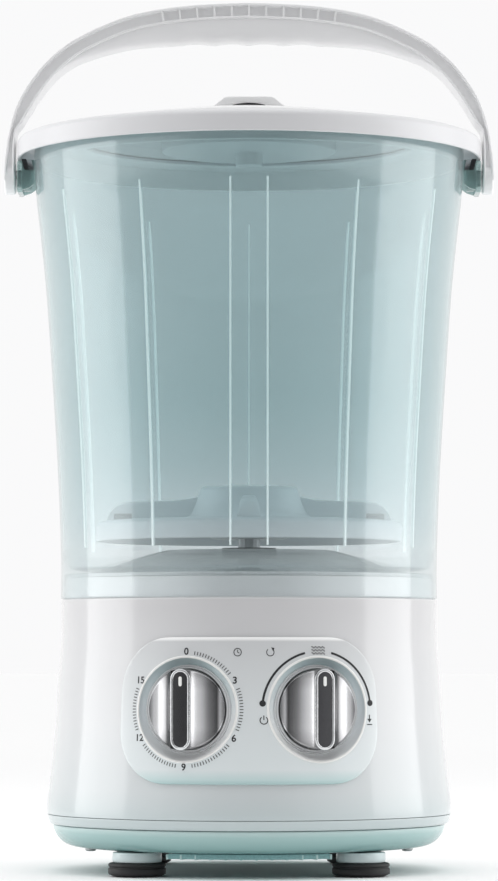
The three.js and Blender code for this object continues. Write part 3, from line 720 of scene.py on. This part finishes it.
vent_shape = front_arc(112.2, 112.2, range(-VENT_ANGLE, VENT_ANGLE + 1, 2))
vent_shape += front_arc(120.4, 122.8, range(VENT_ANGLE, -VENT_ANGLE - 1, -2))
vent = [plate("vent_floor", vent_shape, 13, 16.7, VENT_TEAL, 0.3)]
for n in range(VENT_BARS):
    angle = math.radians(-VENT_ANGLE + n * 2 * VENT_ANGLE / (VENT_BARS - 1))
    turn = Matrix.Rotation(angle, 3, "Z")
    vent.append(plate(
        "vent_bar", rounded_box(0.9, 5.1, 0.5, 3, 0, -117.5), 12.6, 16.2, VENT_BAR, 0.3,
        place=lambda p, turn=turn: tuple(turn @ Vector(p)),
    ))
fixed(joined("vent_grille", vent), "bottom_vent_grille", slot="dark_teal_plastic")

# ---- Feet ----
for side_x, word_x in ((-1, "left"), (1, "right")):
    for side_y, word_y in ((-1, "front"), (1, "rear")):
        where = f"{word_y}_{word_x}"
        place = moved(FOOT_X * side_x, FOOT_Y * side_y)
        fixed(turned(f"pad_{where}", rounded([
            (0, 0), (17.5, 0), (20.5, 1.6), (20.5, 5.2), (19.6, 5.8), (19.6, 6.4), (20.3, 7), (20.3, 8.6),
            (19, 9.3), (0, 9.3),
        ], 0.6), RUBBER, 64, place), f"foot_pad_{where}", slot="rubber")
        fixed(turned(f"post_{where}", rounded([
            (0, 9.6), (17.2, 9.6), (17.5, 12), (17.2, 16.7), (0, 16.7),
        ], 0.8), POST, 64, place), f"foot_post_{where}", slot="pale_plastic")
SCREW_CIRCLE = 118
for n, degrees in enumerate((15, 165, 195, 345)):
    x = SCREW_CIRCLE * math.cos(math.radians(degrees))
    y = SCREW_CIRCLE * math.sin(math.radians(degrees))
    fixed(turned(f"screw_{n + 1}", rounded([
        (0, 15.6), (1.2, 15.6), (1.6, 14.5), (3.4, 14.8), (4, 15.8), (4, 16.7), (2, 16.8), (2, 50), (0, 50),
    ], 0.3, 2), STEEL, 24, moved(x, y)), f"tray_screw_{n + 1}", slot="steel")

# ---- Control panel ----
def dial_edge(side):
    """A dial's hole in the flat outline of the panel; the panel's face is 142 mm from the axis there."""
    return [
        (PANEL_RADIUS * (dial_azimuth(side) + math.asin(x / 142)), DIAL_HEIGHT + y)
        for x, y in circle(DIAL_HOLE, count=96)
    ]


panel = plate(
    "panel", rounded_box(96.3, 51, 38.5, 16, 0, 117), 0.3, PANEL_PROUD, PANEL_WHITE, 0.75,
    holes=[dial_edge(-1), dial_edge(1)], place=on_base, cuts=3,
)
fixed(panel, "control_panel", slot="panel_plastic")


def panel_depth(x, y):
    """Distance of the panel's face from the tub's axis, measured along a dial's axis."""
    return math.sqrt((size_at(BASE_CURVE, DIAL_HEIGHT + y) + PANEL_PROUD) ** 2 - x * x)


def on_dial(side):
    place = out_of_dial(side)
    return lambda p: place((p[0], p[1], panel_depth(p[0], p[1]) + p[2]))


def stadium(half_width, half_length):
    return rounded_box(half_width, half_length, half_width - 1e-3, 14)


def knob_height(x):
    """Height of the knob's face: a blade in the middle and a scoop each side."""
    off = abs(x)
    if off <= BLADE:
        return BLADE_TOP
    if off <= SCOOP_MIDDLE:
        return SCOOP_FLOOR + SCOOP_RADIUS - math.sqrt(SCOOP_RADIUS ** 2 - (SCOOP_MIDDLE - off) ** 2)
    return SCOOP_FLOOR


def dial(side, name):
    place = out_of_dial(side)
    # The dish runs from a rolled rim that follows the panel down to a flat floor.
    rim = [(37.4, -1.4), (37.3, 0.1), (36.9, 0.45), (36.2, 0.45), (35.6, 0.05), (35.2, -0.8), (34.6, -1.9)]
    slope = [(33.8, 0.64), (32.9, 0.4), (31.9, 0.2), (30.8, 0.06), (29.4, 0.0), (4.0, 0.0)]
    floor = DISH_FLOOR + 0.4
    rings = [[(x, y, panel_depth(x, y) + drop) for x, y in circle(radius, count=128)] for radius, drop in rim]
    for radius, share in slope:
        ring = circle(radius, count=128)
        rings.append([(x, y, floor + share * (panel_depth(x, y) - 1.9 - floor)) for x, y in ring])
    for radius in (4, 31):
        rings.append([(x, y, DISH_FLOOR - 0.6) for x, y in circle(radius, count=128)])
    rings.append([(x, y, panel_depth(x, y) - 3.6) for x, y in circle(36, count=128)])
    rings.append(rings[0])
    rings = [[place(p) for p in ring] for ring in rings]
    dish = lofted(f"{name}_dish", rings, dish_plastic(side), caps=False)
    # The dish's rolled rim gets the white print colour: a painted highlight.
    dish.data.materials.append(WHITE_PRINT_AND_RIM_HIGHLIGHT)
    middle = Vector(place((0, 0, 0)))
    axis = Vector(place((0, 0, 1))) - middle
    for face in dish.data.polygons:
        off = face.center / MM - middle
        if (off - axis * off.dot(axis)).length > 35.4:
            face.material_index = 1
    fixed(dish, slot="panel_plastic")
    fixed(turned(f"{name}_bezel", rounded([
        (28.2, 134), (31.2, 134), (31.2, 135), (30.6, 136), (30, 135.8), (29.7, 135.2), (29.3, 136),
        (28.7, 136.6), (28.2, 136.2),
    ], 0.35, 3), BEZEL, 128, place), slot="knob_metal")

    body = f"{name}_dial_knob"
    across = [KNOB_RADIUS * math.sin(math.pi / 2 * k / 26) for k in range(-26, 27)]
    across += [s * (BLADE + d) for s in (-1, 1) for d in (-0.6, -0.15, 0.15, 0.6)]
    across = sorted(set(across))
    rows = 28
    verts = []
    for x in across:
        reach = math.sqrt(max(KNOB_RADIUS ** 2 - x * x, 0))
        for k in range(-rows, rows + 1):
            v = math.sin(math.pi / 2 * k / rows)
            edge = max(0, abs(v) * reach - reach + 0.8) if reach > 0.8 else 0
            verts.append((x, v * reach, knob_height(x) - 0.45 * edge ** 2))
    width = 2 * rows + 1
    faces = []
    for i in range(len(across) - 1):
        for k in range(2 * rows):
            a = i * width + k
            faces.append([a, a + 1, a + width + 1, a + width])
    edge_loop = [i * width for i in range(len(across))]
    edge_loop += [(len(across) - 1 - i) * width + 2 * rows for i in range(len(across))]
    base = len(verts)
    for v in edge_loop:
        verts.append((verts[v][0], verts[v][1], 134.2))
    for k in range(len(edge_loop)):
        n = (k + 1) % len(edge_loop)
        faces.append([edge_loop[k], edge_loop[n], base + n, base + k])
    faces.append([base + k for k in range(len(edge_loop))])
    knob = mesh_object(f"{name}_knob_body", [place(v) for v in verts], faces, knob_metal(side))
    soften(knob, 24)
    fixed(knob, f"{name}_knob", body=body, slot="knob_metal")
    surround = plate(
        f"{name}_insert_frame", stadium(7.2, 28.1), 151.6, 152.9, CHROME, 0.5,
        holes=[stadium(5.1, 26.0)], place=place,
    )
    fixed(surround, body=body, slot="knob_metal")
    look = BLACK if side < 0 else GREY_BLACK
    pieces = [plate(f"{name}_insert", stadium(5.0, 25.9), 151.4, 152.55, look, 0.4, place=place)]
    if side < 0:
        for row in range(-13, 9):
            for column in range(-2, 3):
                x = column * 1.6 + (0.8 if row % 2 else 0)
                if abs(x) > 4:
                    continue
                pieces.append(turned("dot", [(0, 152.5), (0.5, 152.5), (0.35, 152.75), (0, 152.8)], look, 8,
                                     lambda p, x=x, y=row * 1.7: place((p[0] + x, p[1] + y, p[2]))))
    fixed(joined(f"{name}_insert", pieces), f"{name}_knob_insert", body=body, slot="black_plastic")
    fixed(plate(f"{name}_pointer", stadium(1.2, 3.4), 0, 0.35, WHITE_PRINT_AND_RIM_HIGHLIGHT, 0.12,
                place=lambda p: place((p[0], p[1] + 19.5, 152.55 + p[2]))), body=body, slot="white_plastic")


dial(-1, "timer")
dial(1, "selector")


# ---- Dial printing ----
def dial_print(side, outline, look=INK):
    return plate("print", outline, 0, PRINT_HEIGHT, look, 0.03, place=on_dial(side))


def bar(x0, y0, x1, y1, width):
    along = Vector((x1 - x0, y1 - y0)).normalized()
    across = Vector((-along.y, along.x)) * width / 2
    return [
        (x0 + across.x, y0 + across.y), (x1 + across.x, y1 + across.y),
        (x1 - across.x, y1 - across.y), (x0 - across.x, y0 - across.y),
    ]


def arc_band(start, end, radius, width, steps=24):
    """A band along an arc, from one angle to another, clockwise from the top in degrees."""
    edges = []
    for r in (radius + width / 2, radius - width / 2):
        angles = [math.radians(start + (end - start) * k / steps) for k in range(steps + 1)]
        edges.append([(r * math.sin(a), r * math.cos(a)) for a in angles])
    return edges[0] + edges[1][::-1]


def number(text, side, angle, radius, size):
    """A printed number; angle is clockwise from the top in degrees."""
    curve = bpy.data.curves.new("number", "FONT")
    curve.body = text
    curve.size = size * MM
    curve.align_x = "CENTER"
    curve.align_y = "CENTER"
    curve.extrude = 0.07 * MM
    curve.offset = 0.12 * MM
    source = placed("number", curve)
    mesh = finished_mesh(source)
    bpy.data.objects.remove(source)
    a = math.radians(angle)
    place = on_dial(side)
    for v in mesh.vertices:
        x = v.co.x / MM + radius * math.sin(a)
        y = v.co.y / MM + radius * math.cos(a)
        v.co = Vector(place((x, y, 0.08 + v.co.z / MM))) * MM
    mesh.materials.clear()
    mesh.materials.append(INK)
    return placed("number_" + text, mesh)


printing = []
for value, angle in ((0, 0), (3, 60), (6, 120), (9, 180), (12, 240), (15, 300)):
    printing.append(number(str(value), -1, angle, 40.1, 6.7))
for angle in range(0, 301, 3):
    if min(angle % 60, -angle % 60) < 7:
        continue
    s = math.sin(math.radians(angle))
    c = math.cos(math.radians(angle))
    printing.append(dial_print(-1, bar(38.3 * s, 38.3 * c, 40.8 * s, 40.8 * c, 0.64), INK_SOFT))
fixed(joined("timer_print", printing), slot="black_plastic")

ARC = 40.3  # radius of the selector's arcs
marks = [arc_band(-82, -14, ARC, 1.5), arc_band(14, 82, ARC, 1.5)]
for degrees in (-84, 84):
    a = math.radians(degrees)
    marks.append(circle(2.2, ARC * math.sin(a), ARC * math.cos(a), 24))
# Wash: three waves, above the dial.
for row in (38.9, 41, 43.1):
    wave = [(x / 4, row + 0.55 * math.sin(x * 0.6)) for x in range(-20, 21)]
    marks.append([(x, y + 0.35) for x, y in wave] + [(x, y - 0.35) for x, y in reversed(wave)])
# Off: a ring with a bar through its top, at the left.
marks.append([(x - 39.4, y - 7.5) for x, y in arc_band(35, 325, 2.6, 0.65)])
marks.append(bar(-39.4, -7.2, -39.4, -4.1, 0.65))
# Drain: an arrow down to a line, at the right.
marks.append(bar(39.4, -4.0, 39.4, -7.4, 0.8))
marks.append([(37.6, -6.9), (39.4, -9.4), (41.2, -6.9)])
marks.append(bar(37.2, -10.8, 41.6, -10.8, 0.7))
printing = [dial_print(1, mark) for mark in marks]
fixed(joined("selector_print", printing), slot="black_plastic")

# Between the dials: a clock face for the timer and a turning arrow for the selector.
on_panel = lambda p: on_base((p[0], p[1], PANEL_PROUD + p[2]))
CLOCK_X = -8
TURN_X = 15
HEADER = 157.5
icons = [
    [(x + CLOCK_X, y + HEADER) for x, y in arc_band(0, 359.9, 2.6, 0.55, 40)],
    bar(CLOCK_X, HEADER, CLOCK_X, HEADER + 1.7, 0.5),
    bar(CLOCK_X, HEADER, CLOCK_X + 1.2, HEADER - 0.7, 0.5),
    [(x + TURN_X, y + HEADER) for x, y in arc_band(40, 320, 2.6, 0.55, 40)],
    [(TURN_X + x, HEADER + y) for x, y in ((0.6, 3.4), (3, 2.8), (1.9, 0.7))],
]
header = [plate("header_icon", icon, 0, PRINT_HEIGHT, INK, 0.03, place=on_panel) for icon in icons]
fixed(joined("header_print", header), slot="black_plastic")

# ---- Clear tub with inside ribs ----
tub_inner = [(r - WALL, z) for r, z in reversed(TUB_CURVE) if z > 228]
tub = turned("tub_wall", rounded([
    *TUB_CURVE, *tub_inner, (134.6, 224), (131, 218), (122, 216.5), (62, 231.5), (20, 231.5), (20, 229),
    (61.5, 229), (121, 214), (134.6, 214), (134.6, 196.3),
], 1.2, 3), CLEAR)


def tub_rib(degrees, shift):
    """A tapering rib up the inside of the tub, shifted sideways from that direction."""
    s = math.sin(math.radians(degrees))
    c = math.cos(math.radians(degrees))
    sections = []
    for k in range(25):
        z = 232 + (RIB_TOP - 232) * k / 24
        r = size_at(TUB_CURVE, z)
        inside = r - WALL - 1.7 * min(1, (RIB_TOP - z) / 8 + 0.15)
        section = []
        for x, out in ((-0.7, r - 2), (0.7, r - 2), (0.45, inside), (-0.45, inside)):
            section.append(((x + shift) * c + out * s, (x + shift) * s - out * c, z))
        sections.append(section)
    return lofted("rib", sections, RIB_CLEAR, smooth=False)


# A pair of ribs stands in the middle of the front.
ribs = [tub_rib(0, -13), tub_rib(0, 13)]
ribs += [tub_rib(degrees, 0) for degrees in range(30, 360, 30)]
fixed(tub, "tub", slot="clear_plastic")
fixed(joined("tub_ribs", ribs), slot="clear_plastic")
fixed(turned("outlet_stub", [(6.5, 203), (8.5, 203), (8.5, 216), (6.5, 216)], CLEAR, 40,
             moved(DRAIN_X, DRAIN_Y)), slot="clear_plastic")

# ---- Rim ring and lid ----
rim_profile = rounded([
    (170, 518), (170, 530.2), (168.6, 532.5), (165.5, 533.8), (150, 535.9), (138, 537.6), (135.6, 537.2),
    (122, 531.9), (121.5, 531.2), (121.5, 528.8), (150, 528.8), (150, 514), (154.4, 514), (154.4, 529.3),
    (167.5, 529.3), (167.5, 518),
], 1.3)
rim = turned("rim", rim_profile, RIM_WHITE, 224)
# The rim's faces inside the tub, below its top, get the brighter grip white instead of the rim's white:
# painted light.
rim.data.materials.append(GRIP_WHITE)
for face in rim.data.polygons:
    spot = face.center / MM
    if math.hypot(spot.x, spot.y) < 160 and spot.z < 530:
        face.material_index = 1
fixed(rim, "rim_ring", slot="white_plastic")
lid_profile = rounded([
    (0, 514), (10, 514), (10, 524), (64, 524), (64, 545.8), (70, 545.6), (116, 538.9), (120, 533.8),
    (122.3, 532.4), (134.9, 537.35), (134.9, 538.4), (134, 539), (110, 543.4), (90, 546.6), (70, 548.6),
    (64, 549), (61.5, 548.6), (61.5, 526), (0, 526),
], 1.4)
fixed(turned("lid_shell", lid_profile, LID_WHITE, 224), "lid", body="lid_set", slot="white_plastic")

arch_top = smooth_line([
    (-71, 551), (-62, 551.7), (-42, 553.2), (-28, 556.4), (-21, 561), (-16, 563.8), (0, 564),
], 6)
arch_top = arch_top[:-1] + [(-x, z) for x, z in reversed(arch_top)]
arch_low = [(x, 560 - x * x / 94) for x in range(30, -31, -3)]
grip_outline = arch_top + [(71, 549.3), (33, 549.3), *arch_low, (-33, 549.3), (-71, 549.3)]
grip = lofted("grip", [[(x, y, z) for x, z in grip_outline] for y in (-14, 14)], GRIP_WHITE)
bevelled(grip, 1.6, 4, 50)
solidified(grip)
grip.data.shade_smooth()
soften(grip, 40)
fixed(grip, "lid_grip", body="lid_set", slot="white_plastic")
# A thin dark strip in the rubber material under the middle of the grip's arch.
STRIP_REACH = 12
strip_top = [(x, 559.9 - x * x / 94) for x in range(-STRIP_REACH, STRIP_REACH + 1, 2)]
strip_low = [(x, z - 0.1 - 0.7 * (1 - (x / STRIP_REACH) ** 2)) for x, z in reversed(strip_top)]
dark_strip = lofted("grip_dark_strip", [[(x, y, z) for x, z in strip_top + strip_low] for y in (-8, 13.6)], RUBBER)
fixed(dark_strip, body="lid_set", slot="black_plastic")

# ---- Ears on the tub: an outer plate, a boss, two gussets, a top flange and a clip ----
def ear_web(name, rings):
    """A moulded web of the ear, lofted along X between (x, front, rear, bottom, top) rectangles."""
    sections = [
        [(x, front, bottom), (x, rear, bottom), (x, rear, top), (x, front, top)]
        for x, front, rear, bottom, top in rings
    ]
    return bevelled(lofted(name, sections, EAR_CLEAR, smooth=False), 0.4, 2)


for side, word in ((-1, "left"), (1, "right")):
    flat = along_pin(side)
    hole = circle(6.4, count=40)
    parts = [
        plate("ear_plate", rounded_box(18.8, 11.8, 5, 6), 165.8, 169.5, EAR_CLEAR, 0.7, [hole], flat),
        plate("ear_boss", circle(9.5, count=48), 159.9, 165.6, EAR_CLEAR, 0.5, [hole], flat),
    ]
    for y in (-17, 17):
        parts.append(ear_web("ear_gusset", [
            (side * x, y - 1.4, y + 1.4, z, 516.6) for x, z in ((156.8, 499), (161, 496), (165.9, 494.5))
        ]))
    parts.append(ear_web("ear_top", [
        (side * x, -reach, reach, 514.4, 516.8) for x, reach in ((157.9, 16), (165.9, 17.5))
    ]))
    fixed(joined(f"ear_{word}", parts), f"tub_ear_{word}", slot="teal_plastic")
    clip = []
    # The black facet stands in for the dark that the steel clip reflects: a painted reflection; the chrome
    # facet is the clip's metal.
    for outside, top, look in ((166.2, 517.2, BLACK), (162.4, 516.8, CHROME)):
        facet = [(outside, top), (outside - 3.4, top), (outside - 5.6, top - 8), (outside - 2.2, top - 8)]
        clip.append(lofted("clip", [
            [(side * x, y, z) for x, z in facet] for y in (-19.1, -18.2)
        ], look, smooth=False))
    fixed(joined(f"ear_clip_{word}", clip), slot="steel")
    fixed(turned(f"pin_{word}", rounded([
        (0, 160.2), (6, 160.2), (6, 178), (5, 179), (2.6, 179.2), (2.2, 178.4), (0, 178.4),
    ], 0.4, 3), STEEL, 48, along_pin(side)), f"handle_pin_{word}", slot="steel")

# ---- Carrying handle ----
half = [Vector(p) for p in smooth_line(HANDLE_OUTSIDE[:-1], 10)]
arch = [Vector((-p.x, p.y)) for p in reversed(half[1:])] + half
SCALLOPS = (-41, -13.7, 13.7, 41)
SCALLOP_DEPTH = 1.3
CHANNEL = 3.6  # depth of the channel in each side of the handle


def belly_at(x):
    taper = max(0, 1 - (x / 150) ** 2) ** 1.1
    dip = max(max(0, 1 - ((x - c) / 12) ** 2) for c in SCALLOPS)
    return 17.2 * taper - SCALLOP_DEPTH * dip


BAND = [(8.4, 493), (7.4, 517), (5.6, 532), (5.0, 540), (7.9, 547), (10.4, 560), (11.2, 575), (11.3, 600)]
HALF_DEPTH = [(11.9, 500), (11.9, 505), (14.3, 545), (16.9, 592), (16.9, 640)]


def handle_frame(i):
    """Point on the outside of the arch, and the direction square to it towards the inside."""
    before = arch[max(i - 1, 0)]
    after = arch[min(i + 1, len(arch) - 1)]
    along = (after - before).normalized()
    return arch[i], Vector((along.y, -along.x))


sections = []
for i, p in enumerate(arch):
    here, inward = handle_frame(i)
    band = size_at(BAND, here.y)
    deep = size_at(HALF_DEPTH, here.y)
    skin = min(1.8, band * 0.28)
    belly = max(0.05, belly_at(here.x))
    web = deep - CHANNEL
    ring = [
        (-deep + 0.7, 0.0), (-deep / 2, 0.0), (0, 0.0), (deep / 2, 0.0), (deep - 0.7, 0.0),
        (deep - 0.2, 0.2), (deep, 0.7), (deep, skin - 0.4), (deep - 0.4, skin), (web + 0.3, skin + 0.2),
        (web, skin + 0.5), (web, band - skin - 0.5), (web + 0.3, band - skin - 0.2),
        (deep - 0.4, band - skin), (deep, band - skin + 0.4), (deep, band - 0.5),
    ]
    for k in range(13):
        a = math.pi * k / 12
        wide = (deep - 1.2) * math.copysign(abs(math.cos(a)) ** 0.5, math.cos(a))
        ring.append((wide, band + belly * math.sin(a) ** 0.75))
    ring += [(-y, n) for y, n in reversed(ring[6:16])]
    ring += [(-deep + 0.2, 0.2)]
    sections.append([(here.x + inward.x * n, y, here.y + inward.y * n) for y, n in ring])
bail = lofted("bail", sections, HANDLE_WHITE)
soften(bail, 38)
pieces = [bail]
for n in range(-5, 6):
    x = n * 12.8
    i = min(range(len(arch)), key=lambda k: abs(arch[k].x - x))
    here, inward = handle_frame(i)
    along = Vector((inward.y, -inward.x))
    start = Vector((x, here.y + (x - here.x) * (along.y / along.x)))
    for low, high in ((-16.4, -10.6), (10.6, 16.4)):
        ring_at = lambda y: [
            (start.x + along.x * a + inward.x * b, y, start.y + along.y * a + inward.y * b)
            for a, b in ((-0.75, 1.5), (0.75, 1.5), (0.75, 9.9), (-0.75, 9.9))
        ]
        rib = lofted("rib", [ring_at(low), ring_at(high)], HANDLE_WHITE, smooth=False)
        pieces.append(bevelled(rib, 0.2, 2))
for side in (-1, 1):
    pieces.append(turned("boss", rounded([
        (6.4, 171.1), (10.6, 171.1), (11.8, 172), (11.9, 178.2), (11, 179.3), (8.4, 179.45), (7.8, 178.9),
        (6.4, 178.9),
    ], 0.5, 3), HANDLE_WHITE, 64, along_pin(side)))
fixed(joined("handle_arch", pieces), "handle", body="carry_handle", slot="white_plastic")

# ---- Pulsator, its screw and the strainer ----
wheel = turned("wheel", rounded([
    (8.3, 240), (8.3, 262), (3.4, 262), (3.4, 274), (9, 274), (9.5, 277.6), (33, 278), (36, 276.4),
    (39, 266), (43, 257.5), (49, 254.6), (105, 253), (109.5, 252.4), (112, 250.4), (112, 238),
    (109.5, 238), (109.5, 249.5), (47, 250.5), (30, 249), (28, 240),
], 1.8), PALE, 160)
parts = [wheel]
VANE_TOP = [
    (30, 272.5), (40, 270.6), (52, 268.6), (70, 268), (88, 267.2), (96, 265), (101, 260.5), (104, 254),
]
for quarter in range(4):
    turn = Matrix.Rotation(math.pi / 2 * quarter, 3, "Z")
    vane = []
    for r, top in smooth_line(VANE_TOP, 3):
        low = 252.2
        high = max(top, low + 0.8)
        ring = [(-9, low), (9, low)]
        for k in range(9):
            a = math.pi * k / 8
            wide = 9 - 2.6 * (high - low) / 16
            ring.append((
                math.copysign(abs(math.cos(a)) ** 0.45, math.cos(a)) * wide,
                low + (high - low) * (0.55 + 0.45 * math.sin(a) ** 0.6),
            ))
        vane.append([tuple(turn @ Vector((r, y, z))) for y, z in ring])
    parts.append(lofted("vane", vane, PALE))
    if quarter % 2 == 0:
        for y in (-9.05, 9.05):
            parts.append(lofted("slot", [
                [tuple(turn @ Vector((x, y + d, z))) for x, z in rounded_box(6.5, 2.6, 0.8, 3, 92, 255.8)]
                for d in (-0.25, 0.25)
            ], GREY))
fixed(joined("wheel", parts), "pulsator", body="pulsator_set", slot="pale_plastic")
fixed(turned("wheel_screw", rounded([
    (0, 276.2), (1.8, 276.2), (2.2, 277.4), (7.4, 277), (8.6, 275.8), (8.6, 274.3), (3, 274.3), (3, 248),
    (0, 248),
], 0.4, 3), STEEL, 48), "pulsator_screw", body="pulsator_set", slot="steel")
parts = [turned("strainer", rounded([
    (2.2, 223.1), (10, 223.1), (10, 224.2), (9, 225), (2.2, 225),
], 0.4, 3), PALE, 48, moved(DRAIN_X, DRAIN_Y))]
for n in (-1, 0, 1):
    y = DRAIN_Y + 1.6 * n
    parts.append(plate("strainer_bar", bar(DRAIN_X - 2.3, y, DRAIN_X + 2.3, y, 0.7), 223.2, 224.9, PALE, 0.2))
fixed(joined("strainer", parts), "drain_strainer", slot="pale_plastic")

# ---- Drain spigot and cord gland at the back ----
fixed(turned("spigot", rounded([
    (6, 82), (8.4, 82), (8.4, 120), (7.8, 121), (7.8, 128), (8.45, 131.5), (7.7, 132), (7.7, 134),
    (8.45, 137.5), (7.7, 138), (7.7, 140), (8.3, 143.5), (7.4, 146), (6, 146),
], 0.35, 3), GREY, 64, towards_back(SPIGOT)), "drain_spigot", slot="grey_plastic")
fixed(turned("gland", rounded([
    (0, 120), (5, 120), (5.1, 141.6), (8.4, 142), (8.4, 145.6), (7.2, 147), (5.1, 147.4), (4.6, 149),
    (5, 149.6), (4.4, 151), (4.2, 151.9), (0, 151.9),
], 0.4, 3), RUBBER, 48, towards_back(GLAND)), "cord_gland", slot="rubber")


# ---- Stage, lights and camera ----
def area_light(name, place, aim, width, height, power):
    lamp = bpy.data.lights.new(name, "AREA")
    lamp.shape = "RECTANGLE"
    lamp.size = width
    lamp.size_y = height
    lamp.energy = power
    obj = placed(name, lamp)
    obj.location = place
    obj.rotation_euler = (Vector(aim) - Vector(place)).to_track_quat("-Z", "Y").to_euler()


def floor_paper():
    """White paper, plain to the camera but dark in front of the washer to reflections and light: painted
    shade, which gives the metal knobs dark reflections.
    """
    mat, tree, bsdf = shader("floor_paper", PAPER, 0.9)
    shade = banded(tree, (0, 1, 0), [(-2200, (0.06, 0.06, 0.065)), (-1200, PAPER)])
    varied(tree, bsdf, seen_as(tree, shade, PAPER), object_coords(tree))
    # The paper far behind the washer glows more with distance: painted light.
    behind = along_axis(tree, (0, 1, 0), 500, 4000)
    bsdf.inputs["Emission Color"].default_value = (1, 1, 1, 1)
    feed(spread(tree, behind, 0, 0.065), bsdf, "Emission Strength")
    return mat


PAPER = (0.97, 0.97, 0.97)
REACH = 30  # half the floor's width, in metres
corners = [(x * REACH, y * REACH, -0.0005) for x, y in ((-1, -1), (1, -1), (1, 1), (-1, 1))]
floor_mesh = bpy.data.meshes.new("floor")
floor_mesh.from_pydata(corners, [], [(0, 1, 2, 3)])
floor_mesh.materials.append(floor_paper())
floor = placed("floor", floor_mesh)

area_light("left_softbox", (-1.6, 0.06, 0.5), (0, 0, 0.35), 1.2, 1.6, 11)
area_light("right_softbox", (1.6, 0.06, 0.5), (0, 0, 0.35), 1.2, 1.6, 11)
area_light("top_softbox", (0, -0.4, 1.9), (0, 0, 0.3), 1.4, 1, 4)


def studio(white, dim_front):
    """A white room whose light falls off towards the front, where a camera stands against a dark studio."""
    world = bpy.data.worlds.new("studio")
    world.use_nodes = True
    tree = world.node_tree
    source = node_in(tree, "TexCoord")
    split = node_in(tree, "SeparateXYZ")
    feed(source.outputs["Generated"], split, "Vector")
    backwards = node_in(tree, "MapRange")
    backwards.inputs["From Min"].default_value = -1
    feed(split.outputs["Y"], backwards, "Value")
    light = ramp(tree, backwards.outputs["Result"], dim_front)
    feed(seen_as(tree, light, white), tree.nodes["Background"], "Color")
    return world


bpy.context.scene.world = studio((0.955, 0.955, 0.96), [
    (0, (0.03, 0.03, 0.035)), (0.03, (0.06, 0.06, 0.065)), (0.09, (0.5, 0.51, 0.52)),
    (0.2, (0.88, 0.89, 0.9)), (0.36, (1, 1, 1)),
])
bpy.context.scene.view_settings.view_transform = "Standard"

camera_data = bpy.data.cameras.new("camera")
camera_data.lens = 158.7
camera_data.sensor_width = 36
camera = placed("camera", camera_data)
camera.location = (0, -2.839, 0.1556)
camera.rotation_euler = (math.radians(90 + 3.16), 0, 0)
bpy.context.scene.camera = camera
